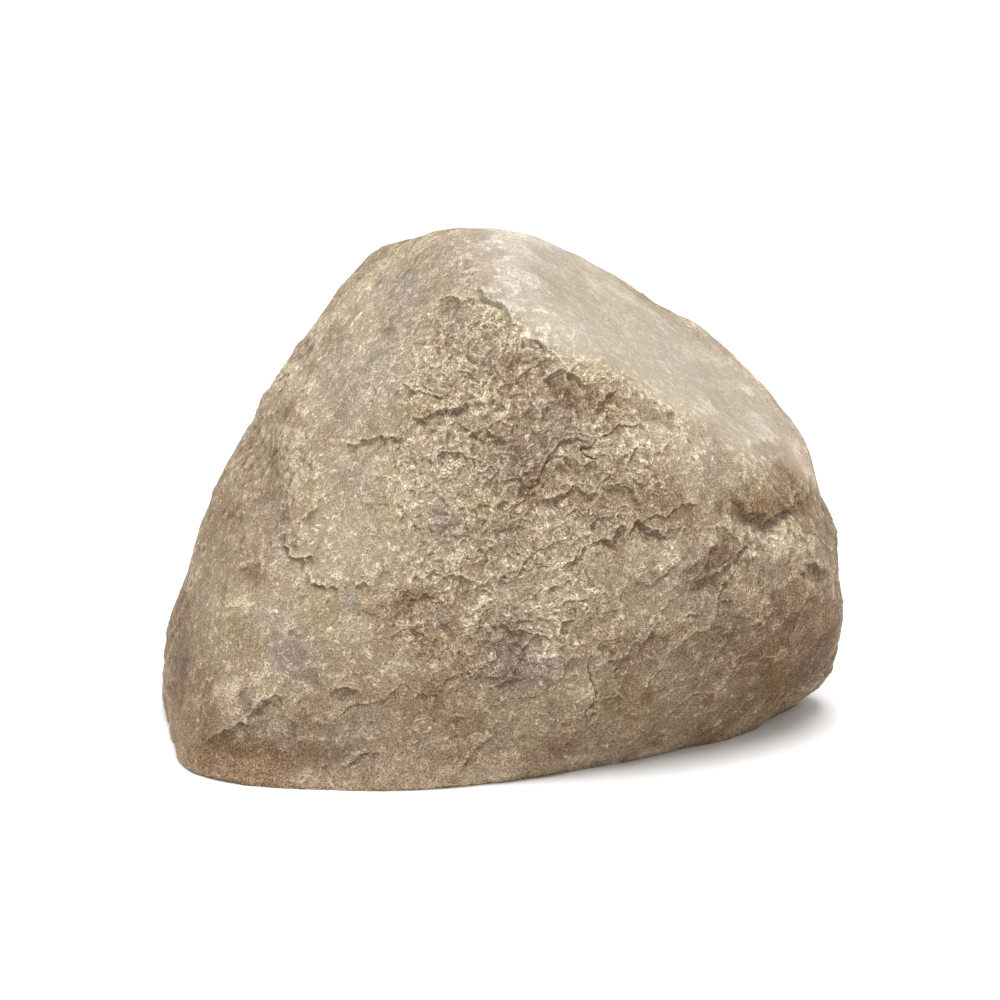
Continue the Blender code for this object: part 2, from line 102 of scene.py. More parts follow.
# Broken plates, coarse to fine: metres across, mm of relief, seed, how wildly they tilt.
plateSizes = {
    "slabs": (0.050, 2.6, 21, 0.5),
    "plates": (0.025, 1.9, 22, 0.8),
    "chips": (0.0125, 1.2, 23, 0.9),
}
plateShape = {"level": 0.35, "fall": 0.45, "bowl": 1.5, "streakTilt": 0.5}
bedding = {"normal": (-90, 62), "stretch": (0.80, 0.9, 1.0)}   # beds rise to the right by 28 degrees
streakBeds = {"normal": (-90, 52), "stretch": (0.40, 0.8, 1.0)}
streakPlates = [(0.045, 3.0, 24), (0.020, 0.9, 25)]   # metres across, mm of relief, seed
brokenForm = {
    "asides": [(0.05, 0.014, 11), (0.016, 0.005, 14)],            # metres across, metres aside, seed
    "rolls": [(4.5, 0.20, 1), (3.6, 0.10, 2), (3.0, 0.05, 3)],    # mm high, metres across, seed
    "crests": [(1.1, 0.030, 5), (0.9, 0.014, 6)],
    "pebbles": [(0.9, 0.018, 7), (0.7, 0.009, 8)],
    "leastPlates": 0.04,                # share of the plates and pebbles left on smooth stone
    "leastPebbles": 0.15,
}
edgeForm = {
    "strays": [(1.0, 0.036, 31), (0.9, 0.014, 33), (0.6, 0.007, 35)],   # share, metres across, seed
    "breaks": [(1.0, 0.028, 41), (0.5, 0.011, 42)],
    "breakLimits": (-0.35, 0.35),
    "leastEdge": 0.45,                  # share of an edge left where it is broken off
    "addedEdge": 0.65,
}

# Where the front crumbles: board place, half length and width, degrees of turn, strength.
crumbly = [
    (520, 400, 105, 95, -20, 1.0), (560, 485, 100, 68, -10, 1.0),
    (480, 470, 80, 90, 0, 0.8), (500, 610, 110, 80, 0, 0.7),
]
slopeEdge = [(440, 228), (478, 285), (520, 322), (562, 362), (600, 366), (650, 394), (700, 430),
             (745, 460), (790, 468), (830, 520)]   # the smooth top slope lies above this line
slopeFades = {"edge": (-10, 18), "left": (430, 505), "far": (-90, 70)}   # steps, steps, mm
# Where it is streaky: board place, half length and width, degrees of turn, rim, strength.
streakyPlaces = [(750, 630, 170, 150, 30, 0.5, 1.0), (430, 730, 260, 70, 5, 0.5, 0.6)]
wear = {
    "front": (-40, 40),                 # mm before the middle where the front's own wear sets in
    "plain": 0.28,                      # roughness of the front outside the crumbled places
    "smoothFlank": (745, 600, 120, 130, 0, 0.5),   # board place, half length and width, turn, rim
    "flankLess": 0.20,                  # how much less it is there
    "slopeLess": 0.86,
    "elsewhere": (0.35, 0.45),          # least roughness of the other sides, and what noise adds
    "elsewhereNoise": [(1.0, 0.16, 91)],
    "elsewhereLimits": (-0.25, 0.45),
    "leastStreaks": 0.25,
    "slopeStreaksLess": 0.9,
}

# Ledges: the upper side stands proud and drops away along a line from left to right.
# mm proud, mm of drop, mm of reach above, mm of hollow below, the line.
frontLedges = {
    "topOverhang": (2, 5, 14, 20, [(436, 307), (448, 301), (460, 299), (472, 303), (478, 312)]),
    "topScarp": (3, 8, 14, 24, [(474, 293), (488, 300), (503, 311), (519, 327)]),
    "middleScarp": (3, 9, 14, 24, [(522, 335), (536, 341), (548, 353), (562, 367)]),
    "hollowRoof": (2, 6, 12, 20, [(543, 392), (548, 381), (557, 374), (572, 377), (586, 386), (594, 395)]),
    "innerLip": (2, 7, 8, 12, [(590, 412), (602, 403), (616, 393)]),
    "brokenLip": (3, 4, 8, 8, [(596, 440), (606, 432), (620, 426), (632, 429), (646, 423)]),
    "westLip": (2, 6, 8, 12, [(536, 424), (540, 413), (549, 407), (556, 412)]),
    "upperStep": (2, 3, 14, 10, [(398, 384), (410, 392), (430, 395), (446, 401)]),
    "leftLedge": (4, 8, 20, 18, [(410, 421), (425, 417), (440, 412), (458, 410), (476, 404)]),
    "longLedge": (3, 4, 22, 16, [(340, 449), (358, 444), (378, 439), (395, 438), (412, 433)]),
    "upperArc": (3, 6, 12, 14, [(460, 438), (472, 431), (486, 431), (500, 437), (510, 446)]),
    "smallArc": (2, 4, 8, 8, [(436, 463), (444, 455), (456, 453), (468, 460), (480, 467)]),
    "lowerArc": (2, 4, 10, 10, [(475, 475), (486, 468), (500, 472)]),
    "hookLedge": (2, 3, 8, 8, [(500, 481), (514, 480), (526, 485), (533, 481)]),
    "wavyLedge": (3, 4, 16, 6, [(534, 502), (548, 498), (562, 496), (572, 489), (588, 493), (600, 486)]),
    "thinArch": (1.5, 2, 8, 4, [(602, 488), (615, 482), (630, 486), (642, 493)]),
    "dimpleLip": (2, 4, 8, 8, [(466, 508), (482, 503), (498, 505)]),
    "slantLedge": (2, 3, 8, 8, [(558, 520), (570, 511), (582, 501)]),
    "shortLedge": (2, 4, 8, 8, [(590, 527), (599, 519), (614, 515)]),
    "strongLedgeLeft": (4, 9, 20, 22, [(556, 562), (570, 556), (580, 547), (590, 541), (603, 536),
                                       (612, 541), (624, 539)]),
    "strongLedgeRight": (4, 9, 18, 22, [(600, 533), (612, 529), (624, 527), (634, 522), (645, 527),
                                        (660, 532), (676, 536)]),
    "plateEdge": (3, 5, 20, 16, [(636, 521), (652, 514), (664, 514), (673, 509), (688, 503), (706, 506)]),
    "centreChip": (2, 3, 10, 8, [(493, 581), (506, 577), (516, 572), (524, 569)]),
    "archLedge": (3, 3, 14, 10, [(436, 578), (446, 571), (458, 571), (468, 577), (477, 585)]),
    "lowArc": (3, 5, 14, 16, [(400, 593), (412, 593), (424, 595), (440, 599)]),
    "leftArc": (3, 3, 14, 10, [(354, 581), (367, 577), (379, 583)]),
    "slit": (4, 5, 20, 14, [(304, 584), (316, 581), (328, 584), (344, 590)]),
    "lumpLedge": (3, 3, 16, 12, [(278, 551), (285, 544), (293, 551), (300, 558), (308, 556), (322, 550)]),
    "lowCrackLip": (3, 4, 20, 14, [(338, 780), (343, 769), (353, 762), (362, 756), (369, 745)]),
    "paleStep": (2, 3, 16, 12, [(386, 640), (396, 632), (408, 625), (424, 622)]),
    "greyStep": (2, 3, 10, 8, [(464, 671), (478, 669), (488, 671)]),
    "patchRoof": (2, 3.5, 10, 9, [(480, 640), (492, 624), (502, 618), (516, 626), (530, 630),
                                  (546, 636), (556, 643)]),
    "patchLip": (2, 3.5, 10, 8, [(505, 642), (520, 641), (530, 647)]),
    "gash": (2, 4, 9, 8, [(554, 634), (561, 622), (575, 614)]),
    "smallStep": (2, 3, 8, 8, [(548, 585), (556, 584), (562, 579)]),
    "plateLip": (1.5, 3, 12, 9, [(324, 692), (336, 688), (350, 688), (360, 695)]),
    "chinEdge": (3, 3.5, 30, 26, [(200, 745), (212, 738), (226, 730), (240, 722), (252, 714), (262, 704),
                                  (276, 694), (290, 690)]),
    "pitLip": (2, 6, 10, 12, [(797, 577), (808, 568), (822, 567)]),
    "rightChipA": (1, 3, 9, 7, [(680, 616), (690, 612), (702, 615)]),
    "rightChipB": (1, 3, 9, 7, [(722, 606), (730, 601), (742, 598)]),
    "lowChipA": (1, 3, 12, 8, [(436, 741), (452, 738), (466, 735)]),
    "lowChipB": (1, 3, 12, 8, [(446, 720), (458, 717), (470, 716)]),
    "lowChipC": (1, 3, 12, 8, [(600, 701), (612, 700), (624, 702)]),
    "lowChipD": (1, 3, 12, 10, [(560, 718), (576, 716), (588, 719)]),
}

# Brows: ledges with a round lip and a soft shade.
frontBrows = {
    "rightScarp": (2, 5, 14, 16, [(590, 380), (602, 372), (618, 379), (634, 389), (650, 399), (668, 409),
                                  (690, 424), (704, 434)]),
    "notchBrow": (6, 18, 20, 20, [(729, 492), (742, 505), (757, 514), (774, 514),
                                  (788, 506), (797, 492), (803, 472)]),
    "curvedBrow": (6, 12, 26, 18, [(684, 583), (702, 581), (717, 573), (730, 562), (740, 548), (746, 532)]),
    "chin": (3, 4, 40, 36, [(192, 744), (204, 738), (216, 733), (228, 726), (242, 721), (254, 713),
                         (263, 704), (276, 694), (290, 690)]),
    "lowBrow": (5, 10, 24, 20, [(742, 668), (758, 662), (774, 656), (790, 644)]),
    "rightFold": (4, 9, 20, 20, [(640, 590), (652, 572), (668, 560), (684, 552)]),
    "slantFold": (4, 9, 22, 20, [(588, 672), (600, 663), (614, 655), (628, 644), (643, 627), (656, 614)]),
    "middleFold": (4, 8, 22, 20, [(700, 668), (714, 652), (724, 636), (738, 618)]),
    "upperFold": (4, 8, 20, 20, [(748, 632), (760, 614), (772, 596)]),
}

# Shelves: the lower side stands proud. mm of step, mm over which the upper side slopes in, the line.
frontShelves = {
    "smallShelf": (2.5, 8, [(648, 655), (656, 650), (666, 646)]),
    "middleShelf": (3, 9, [(560, 674), (572, 669), (588, 669)]),
}

# Cracks: mm deep, mm of half width, the line.
frontCracks = {
    "uprightCrack": (4, 2.6, [(592, 652), (589, 668), (590, 682), (594, 694), (590, 706), (589, 722),
                              (594, 740)]),
    "veeCrack": (4, 2.2, [(600, 437), (592, 444), (583, 453), (592, 459), (604, 462)]),
    "brokenLine": (3, 2, [(596, 440), (606, 432), (620, 426), (632, 429), (646, 423)]),
    "lowCrack": (3.5, 2.2, [(338, 781), (342, 770), (352, 762), (363, 757), (369, 745)]),
}

# Lumps and hollows: mm high (below nought, deep), half length and width, degrees of turn, place.
frontLumps = {
    "topHollow": (-2, 27, 11, 0, 463, 309), "rustyHollow": (-3, 16, 11, 25, 440, 337),
    "rustyLump": (3, 15, 11, 0, 457, 347), "lippedHollow": (-4, 20, 16, -40, 477, 364),
    "upperHollow": (-3, 15, 13, 0, 512, 360), "scarpHollow": (-5, 30, 16, -30, 541, 368),
    "leftDimple": (-3, 15, 13, 0, 455, 385), "deepWall": (-5, 20, 18, 60, 554, 394),
    "deepHollow": (-11, 42, 28, -12, 572, 400), "deepRight": (-4, 23, 15, 30, 604, 406),
    "deepFoot": (-5, 20, 14, 20, 540, 418), "trough": (-6, 58, 16, -24, 650, 413),
    "troughTail": (-3, 32, 10, -32, 700, 432), "brightBulge": (5, 45, 18, 6, 622, 444),
    "smallBulge": (4, 18, 13, 0, 560, 455), "upperBulge": (4, 20, 18, 0, 524, 400),
    "leftBulge": (3, 25, 13, 0, 440, 432), "brownHollow": (-4, 19, 10, 0, 578, 468),
    "middleDimple": (-3, 18, 11, 0, 487, 507), "shoulderPit": (-5, 24, 13, 0, 764, 450),
    "notch": (-10, 40, 18, 5, 770, 521), "notchSlope": (6, 30, 15, 5, 764, 496),
    "underNotch": (8, 46, 22, 8, 776, 548), "ridgeToNotch": (5, 40, 14, -42, 750, 470),
    "curvedHollow": (-12, 50, 20, 40, 724, 570), "cheek": (5, 44, 18, 35, 750, 592),
    "cheekRoll": (7, 44, 20, 40, 704, 540),
    "sidePit": (-9, 19, 13, -20, 812, 574), "sideRidge": (5, 20, 7, -25, 812, 594),
    "lowHollow": (-6, 38, 22, 25, 768, 650), "lowPlate": (3, 30, 20, 20, 640, 652),
    "slantHollow": (-5, 30, 18, 35, 602, 612), "wideHollow": (-3, 25, 18, 30, 640, 588),
    "middleBulge": (3, 18, 20, 0, 564, 600), "arcBulge": (3, 20, 13, 0, 445, 590),
    "leftPit": (-5, 22, 16, 0, 250, 574), "underPit": (3, 23, 20, 0, 243, 602),
    "leftLump": (4, 35, 18, -15, 300, 532), "underLump": (-2, 30, 11, 0, 300, 562),
    "bandHollow": (-4, 62, 20, 0, 425, 540), "centreHollow": (-3, 30, 18, 0, 500, 552),
    "patchHollow": (-4, 42, 38, 20, 512, 646), "patchBulge": (3, 28, 15, 0, 546, 654),
    "crackBulge": (3, 23, 18, 0, 580, 690), "crackBulgeLow": (2, 23, 15, 0, 603, 712),
    "chinPlate": (5, 58, 40, 25, 240, 690), "chinRecess": (-8, 66, 50, 30, 262, 745),
    "chinFoot": (-5, 55, 23, 5, 248, 768), "smallPit": (-3, 18, 10, 0, 312, 677),
    "lowDimple": (-3, 30, 11, 0, 345, 696), "paleBulge": (3, 37, 25, 0, 350, 628),
    "arcHollow": (-6, 27, 13, 0, 418, 596), "arcFoot": (2.5, 32, 15, 0, 428, 614),
    "leftFlute": (-18, 30, 90, 8, 262, 470), "leftDent": (-3, 20, 15, 0, 302, 420),
    "flankHollow": (-8, 20, 26, 0, 236, 520), "flankFold": (6, 12, 80, 4, 298, 450),
    "lowBand": (-3, 75, 20, 10, 560, 742), "lowSwell": (2.5, 62, 25, 0, 500, 712),
    "edgeNotch": (-14, 12, 11, 0, 281, 374), "knob": (11, 12, 13, 0, 160, 680),
    "shoulder": (3, 50, 62, 0, 372, 300), "topCrest": (-8, 26, 52, 12, 484, 262),
}

# The other sides' features, on their own boards.
backLedges = {
    "backStep": (4, 7, 24, 20, [(441, 556), (470, 548), (525, 536), (560, 544), (593, 547),
                                 (640, 533), (678, 525)]),
    "backBrowEdge": (3, 5, 18, 14, [(512, 352), (551, 339), (590, 346)]),
}
backBrows = {
    "backBed": (5, 10, 26, 24, [(322, 456), (398, 429), (466, 437), (534, 412), (610, 422)]),
    "backShelf": (3, 8, 20, 20, [(288, 571), (356, 551), (415, 563)]),
    "backFoot": (3, 7, 20, 20, [(534, 644), (610, 627), (686, 641)]),
    "backFold": (4, 9, 26, 24, [(360, 640), (400, 606), (430, 560), (452, 520)]),
}
leftLedges = {
    "leftStep": (3, 6, 22, 18, [(314, 463), (345, 449), (381, 441), (420, 450), (458, 454)]),
}
leftBrows = {
    "leftBed": (4, 9, 24, 24, [(220, 588), (305, 566), (390, 578), (458, 556)]),
    "leftFoot": (3, 7, 20, 20, [(280, 661), (356, 642), (432, 654)]),
    "leftFold": (4, 9, 26, 24, [(400, 520), (424, 480), (452, 440)]),
}
rightLedges = {
    "rightBed": (3, 6, 22, 18, [(534, 451), (560, 436), (593, 425), (630, 432), (669, 432)]),
}
rightBrows = {
    "rightStep": (3, 8, 22, 22, [(551, 581), (619, 559), (686, 569), (763, 547)]),
    "rightFoot": (3, 7, 20, 20, [(517, 653), (593, 634), (661, 644)]),
    "rightFolding": (4, 9, 26, 24, [(600, 520), (640, 492), (676, 470), (720, 460)]),
}
backLumps = {
    "backHollow": (-10, 68, 39, 12, 441, 488), "backBulge": (8, 76, 44, -8, 602, 581),
    "backPit": (-7, 29, 20, 20, 661, 466), "backBrowHollow": (-6, 51, 22, 10, 534, 373),
    "backLowHollow": (-8, 59, 29, -6, 356, 610),
}
leftLumps = {
    "leftHollow": (-9, 59, 37, 10, 339, 495), "leftCheek": (6, 51, 34, 0, 288, 619),
    "leftBackPit": (-6, 25, 17, 15, 407, 610),
}
rightLumps = {
    "rightHollow": (-9, 59, 36, -10, 644, 483), "rightCheek": (6, 54, 34, 10, 695, 602),
    "rightBackPit": (-6, 25, 17, 0, 593, 610),
}
boards = {   # degrees round from the front: ledges, brows, shelves, cracks, lumps
    0: (frontLedges, frontBrows, frontShelves, frontCracks, frontLumps),
    90: (rightLedges, rightBrows, {}, {}, rightLumps),
    180: (backLedges, backBrows, {}, {}, backLumps),
    -90: (leftLedges, leftBrows, {}, {}, leftLumps),
}


def smoothStep(value, low, high):   # 0 up to low, 1 from high on, 3t^2 - 2t^3 between
    t = np.clip((value - low) / (high - low), 0.0, 1.0)
    return t * t * (3 - 2 * t)


def facing(turn, rise):   # unit vector, turn degrees from the front (-Y) towards +X, rise degrees up
    turn, rise = math.radians(turn), math.radians(rise)
    return np.array([math.sin(turn) * math.cos(rise), -math.cos(turn) * math.cos(rise), math.sin(rise)])


# Gradient noise: each corner of a cubic lattice has a random slope, and a point gets the eight
# slopes' heights, eased from corner to corner by 6t^5 - 15t^4 + 10t^3.
primes = np.array([374761393, 668265263, 2147483647], dtype=np.uint32)
seedStep = 974634777
noiseGain = 1.5   # brings the noise to about -1 to 1
hashRounds = [(13, 1274126177), (16, 2246822519)]   # shift and multiplier of each round


def latticeHash(cell, seed):
    value = cell[:, 0] * primes[0] + cell[:, 1] * primes[1] + cell[:, 2] * primes[2]
    value = value + np.uint32((seed * seedStep) & 0xFFFFFFFF)
    for shift, factor in hashRounds:
        value = (value ^ (value >> np.uint32(shift))) * np.uint32(factor)
    return value ^ (value >> np.uint32(15))


def hashParts(value):   # three numbers from 0 to 1 out of each hash
    most = np.uint32(1023)
    return tuple(((value >> np.uint32(shift)) & most) / 1023.0 for shift in (0, 10, 20))


def noise(points, size, seed):
    place = points / size
    floor = np.floor(place)
    inside = place - floor
    cell = floor.astype(np.int64).astype(np.uint32)
    ease = inside ** 3 * (inside * (inside * 6 - 15) + 10)
    total = np.zeros(len(points))
    for corner in np.ndindex(2, 2, 2):
        x, y, z = hashParts(latticeHash(cell + np.array(corner, dtype=np.uint32), seed))
        gap = inside - corner
        height = (x * 2 - 1) * gap[:, 0] + (y * 2 - 1) * gap[:, 1] + (z * 2 - 1) * gap[:, 2]
        weight = np.prod(np.where(np.array(corner) == 1, ease, 1 - ease), axis=1)
        total += height * weight
    return total * noiseGain


def noises(points, table, turn=0):   # the sum of share * noise, its seeds moved on by turn
    return sum(share * noise(points, size, seed + turn) for share, size, seed in table)


def crest(points, size, seed):   # 1 on wandering lines where the noise crosses nought, falling away
    return 1 - 2.2 * np.abs(noise(points, size, seed))


# Broken plates: space is cut into cells round scattered seeds. A cell's height is its own level,
# plus its own slope, plus a rise towards its rim, less a slope upwards so that it ends in a lip.
def brokenPlates(points, size, seed, wild):
    place = points / size
    floor = np.floor(place)
    inside = place - floor
    cell = floor.astype(np.int64).astype(np.uint32)
    nearest = np.full(len(points), 9.0)
    height = np.zeros(len(points))
    for step in np.ndindex(3, 3, 3):
        shift = np.array(step) - 1
        there = cell + shift.astype(np.int64).astype(np.uint32)
        x, y, z = hashParts(latticeHash(there, seed))
        dx, dy, dz = inside[:, 0] - shift[0] - x, inside[:, 1] - shift[1] - y, inside[:, 2] - shift[2] - z
        gap = dx * dx + dy * dy + dz * dz
        a, b, c = hashParts(latticeHash(there, seed + 50))
        a, b, c = a * 2 - 1, b * 2 - 1, c * 2 - 1
        own = plateShape["level"] * a - plateShape["fall"] * dz + plateShape["bowl"] * gap
        own += wild * (dx * a + dy * b + dz * c)
        closer = gap < nearest
        height = np.where(closer, own, height)
        nearest = np.where(closer, gap, nearest)
    return height


# Distance to a line of points, above nought on its upper side, and how far along it, 0 to 1.
def lineDistance(x, y, line):
    corners = np.array(line, dtype=float)
    runs = np.diff(corners, axis=0)
    lengths = np.hypot(runs[:, 0], runs[:, 1])
    starts = np.concatenate([[0.0], np.cumsum(lengths)])
    distance, along = np.full(len(x), 1e6), np.zeros(len(x))
    for (cx, cy), (rx, ry), length, start in zip(corners, runs, lengths, starts):
        dx, dy = x - cx, y - cy
        part = np.clip((dx * rx + dy * ry) / length ** 2, 0.0, 1.0)
        gap = np.hypot(dx - part * rx, dy - part * ry)
        gap = np.where(rx * dy - ry * dx <= 0, gap, -gap)   # y runs down the board
        closer = np.abs(gap) < np.abs(distance)
        distance = np.where(closer, gap, distance)
        along = np.where(closer, start + part * length, along)
    taper = smoothStep(along / starts[-1], 0.0, 0.25) * smoothStep(1 - along / starts[-1], 0.0, 0.25)
    return distance * viewer["step"], taper


# A ledge: proud of the face above the line, falling away with distance; below it an edge as wide as
# the lip, then a hollow that dies out.
def ledge(x, y, proud, drop, reach, under, line, soft=1.0):
    distance, taper = lineDistance(x, y, line)
    edge = np.exp(np.minimum(distance, 0) / (soft * stoneForm["lip"]))
    above = proud * np.exp(-np.maximum(distance, 0) / reach)
    below = proud * edge - shares["drop"] * drop * (1 - edge) * np.exp(np.minimum(distance, 0) / under)
    return np.where(distance >= 0, above, below) * taper


# A brow: a ledge with a round lip.
def brow(x, y, proud, drop, reach, under, line):
    return ledge(x, y, proud, drop, reach, under, line, stoneForm["browLip"])


# A shelf: the face above slopes in towards the line, and the stone below it stands proud.
def shelf(x, y, step, slope, line):
    distance, taper = lineDistance(x, y, line)
    lip = stoneForm["shelfLip"] * stoneForm["lip"]
    upper, lower = np.maximum(distance, 0), np.minimum(distance, 0)
    above = -shares["above"] * step * np.exp(-upper / slope) * (1 - np.exp(-upper / lip))
    below = shares["below"] * step * np.exp(lower / slope) * (1 - np.exp(lower / lip))
    return np.where(distance >= 0, above, below) * taper


def crack(x, y, depth, halfWidth, line):   # a groove with a bell-shaped section
    distance, taper = lineDistance(x, y, line)
    return -depth * np.exp(-(distance / halfWidth) ** 2) * taper


# The place along a turned ellipse's two axes, as shares of its half length and half width.
def alongEllipse(x, y, atX, atY, halfLength, halfWidth, turn):
    cosine, sine = math.cos(math.radians(turn)), math.sin(math.radians(turn))
    longWay = ((x - atX) * cosine - (y - atY) * sine) / halfLength
    shortWay = ((x - atX) * sine + (y - atY) * cosine) / halfWidth
    return longWay, shortWay


def lump(x, y, high, halfLength, halfWidth, turn, atX, atY):   # (1 - q)^2 inside a turned ellipse
    longWay, shortWay = alongEllipse(x, y, atX, atY, halfLength, halfWidth, turn)
    return shares["lump"] * high * np.maximum(1 - longWay ** 2 - shortWay ** 2, 0.0) ** 2


# The board's x and y of each point as the viewer on that side sees it, and mm nearer than the middle.
def onBoard(points, side):
    back = facing(side, viewer["up"])
    right = np.array([math.cos(math.radians(side)), math.sin(math.radians(side)), 0.0])
    above = np.cross(back, right)
    offset = points - middle
    near = offset @ back
    scale = 1000.0 * viewer["away"] / (viewer["away"] - near) / viewer["step"]
    return 500 + offset @ right * scale, 500 - offset @ above * scale, near * 1000


# The placed features: mm out, then the share of lineReach from the nearest ledge or crack, above
# nought over it, then how near and strong that line is, 0 to 1.
def placedRelief(points):
    wander = stoneForm["ragged"] / viewer["step"]
    strayX, strayY = (wander * noises(points, edgeForm["strays"], turn) for turn in (0, 1))
    unbroken = smoothStep(noises(points, edgeForm["breaks"]), *edgeForm["breakLimits"])
    unbroken = edgeForm["leastEdge"] + edgeForm["addedEdge"] * unbroken
    total, gap, hold = np.zeros(len(points)), np.ones(len(points)), np.zeros(len(points))
    for side, (ledges, brows, shelves, cracks, lumps) in boards.items():
        x, y, near = onBoard(points, side)
        seen = np.nonzero(near > stoneForm["sideFade"][0])[0]
        x, y = x[seen] + strayX[seen], y[seen] + strayY[seen]
        fade = smoothStep(near[seen], *stoneForm["sideFade"])
        relief = np.zeros(len(seen))
        for shape, features in ((ledge, ledges), (brow, brows), (shelf, shelves), (crack, cracks)):
            for values in features.values():
                line = np.array(values[-1])
                # past this margin, in steps, the feature has died out
                margin = 3.5 * max(values[-3:-1] if shape in (ledge, brow) else values[1:2]) + 8
                low, high = line.min(axis=0) - margin, line.max(axis=0) + margin
                here = np.nonzero((x > low[0]) & (x < high[0]) & (y > low[1]) & (y < high[1]))[0]
                relief[here] += shape(x[here], y[here], *values) * unbroken[seen[here]]
                if shape in (ledge, crack):
                    distance, taper = lineDistance(x[here], y[here], values[-1])
                    share = np.clip(distance / stoneForm["lineReach"], -1, 1)
                    ours = seen[here]
                    closer = np.abs(share) < np.abs(gap[ours])
                    gap[ours] = np.where(closer, share, gap[ours])
                    strength = smoothStep(taper * unbroken[ours], 0.1, 0.6) * fade[here]
                    hold[ours] = np.where(closer, strength * (1 - np.abs(share)), hold[ours])
        for values in lumps.values():
            relief += lump(x, y, *values)
        total[seen] += relief * fade
    return total, gap, hold


def ellipse(x, y, atX, atY, halfLength, halfWidth, turn=0, soft=0.35):   # 1 inside, 0 outside, soft rim
    out = np.hypot(*alongEllipse(x, y, atX, atY, halfLength, halfWidth, turn))
    return 1 - smoothStep(out, 1 - soft, 1 + soft)


def slopeMask(x, y, near):   # 1 on the smooth top slope
    edgeX, edgeY = np.array(slopeEdge, dtype=float).T
    edge = np.interp(x, edgeX, edgeY)
    onSlope = smoothStep(edge - y, *slopeFades["edge"]) * smoothStep(x, *slopeFades["left"])
    return onSlope * smoothStep(near, *slopeFades["far"])


def roughness(points):   # 0 where the weather has smoothed the stone, 1 where it crumbles
    x, y, near = onBoard(points, 0)
    front = smoothStep(near, *wear["front"])
    crumble = np.zeros(len(points))
    for *patch, strength in crumbly:
        crumble = np.maximum(crumble, strength * ellipse(x, y, *patch))
    least, added = wear["elsewhere"]
    elsewhere = smoothStep(noises(points, wear["elsewhereNoise"]), *wear["elsewhereLimits"])
    elsewhere = least + added * elsewhere
    smoothed = wear["plain"] - wear["flankLess"] * ellipse(x, y, *wear["smoothFlank"])
    value = elsewhere * (1 - front) + front * (smoothed + (1 - smoothed) * crumble)
    return np.clip(value * (1 - wear["slopeLess"] * slopeMask(x, y, near)), 0.0, 1.0)


def bedAxes(beds, points):   # across, inwards and along the beds' normal, each drawn out by its share
    normal, inwards = facing(*beds["normal"]), np.array([0.0, 1.0, 0.0])
    axes = np.stack([np.cross(inwards, normal), inwards, normal], axis=1)
    return points @ axes * np.array(beds["stretch"])


def streakiness(points):   # 1 low down on the right, less elsewhere, none on the smooth slope
    x, y, near = onBoard(points, 0)
    value = np.full(len(points), wear["leastStreaks"])
    for *patch, strength in streakyPlaces:
        value = np.maximum(value, strength * ellipse(x, y, *patch))
    return value * (1 - wear["slopeStreaksLess"] * slopeMask(x, y, near))


# Rolling noise, then plates along the beds, streaky plates, wandering crests and pebbles, in mm.
def brokenRelief(points, rough):
    wide, close = (np.stack([noise(points, size, seed + axis) for axis in range(3)], axis=1) * aside
                   for size, aside, seed in brokenForm["asides"])
    strayed = points + wide + close
    alongBeds = bedAxes(bedding, strayed)
    strength = brokenForm["leastPlates"] + (1 - brokenForm["leastPlates"]) * rough
    total = noises(points, brokenForm["rolls"])
    for index, (size, high, seed, wild) in enumerate(plateSizes.values()):
        heavy = rough if index == 0 else 1.0
        total += high * strength * heavy * brokenPlates(alongBeds + 0.3 * index, size, seed, wild)
    alongStreaks, streaks = bedAxes(streakBeds, strayed), streakiness(points)
    for size, high, seed in streakPlates:
        total += high * streaks * brokenPlates(alongStreaks, size, seed, plateShape["streakTilt"])
    total += sum(high * strength * crest(at, size, seed)
                 for at, (high, size, seed) in zip((strayed, strayed + wide), brokenForm["crests"]))
    least = brokenForm["leastPebbles"]
    total += (least + (1 - least) * rough) * noises(strayed, brokenForm["pebbles"])
    return total * shares["broken"]


# The form: one face alone lies distance / cosine away. The faces meet as a power mean, which rounds
# their ridges, and the ground cuts them off the same way but far sharper.
def formRadius(away):
    total = np.zeros(len(away))
    for turn, rise, distance in broadFaces.values():
        total += np.maximum(away @ facing(turn, rise) / distance, 0.0) ** stoneForm["ridgeSharpness"]
    radius = total ** (-1.0 / stoneForm["ridgeSharpness"])
    toGround = middle[2] / np.maximum(-away[:, 2], 1e-6)
    crisp = stoneForm["groundSharpness"]
    return (radius ** -crisp + toGround ** -crisp) ** (-1 / crisp)


# Each swell is (1 - q^2)^2 of its height, q being the angle from its middle over its half width.
def swellRelief(away):
    total = np.zeros(len(away))
    for high, halfWidth, turn, rise in swells:
        angle = np.degrees(np.arccos(np.clip(away @ facing(turn, rise), -1.0, 1.0)))
        total += high * np.maximum(1 - (angle / halfWidth) ** 2, 0.0) ** 2
    return total


# Six square grids, tan(u) by tan(v) on a cube's sides, made into directions and pulled to the front.
def gridDirections(count):
    steps = np.tan(np.linspace(-1, 1, count + 1) * math.pi / 4)
    u, v = np.meshgrid(steps, steps, indexing="ij")
    one = np.ones_like(u)
    sides = [(one, u, v), (-one, v, u), (v, one, u), (u, -one, v), (u, v, one), (v, u, -one)]
    away = np.concatenate([np.stack(side, axis=-1).reshape(-1, 3) for side in sides])
    away /= np.linalg.norm(away, axis=1, keepdims=True)
    away += stoneForm["frontPull"] * facing(0, viewer["up"])
    return away / np.linalg.norm(away, axis=1, keepdims=True)


def gridSquares(count):   # the numbers of each square's four corners
    side = np.arange(6)[:, None, None] * (count + 1) ** 2
    first = (side + np.arange(count)[None, :, None] * (count + 1) + np.arange(count)[None, None, :]).ravel()
    return np.stack([first, first + count + 1, first + count + 2, first + 1], axis=1)


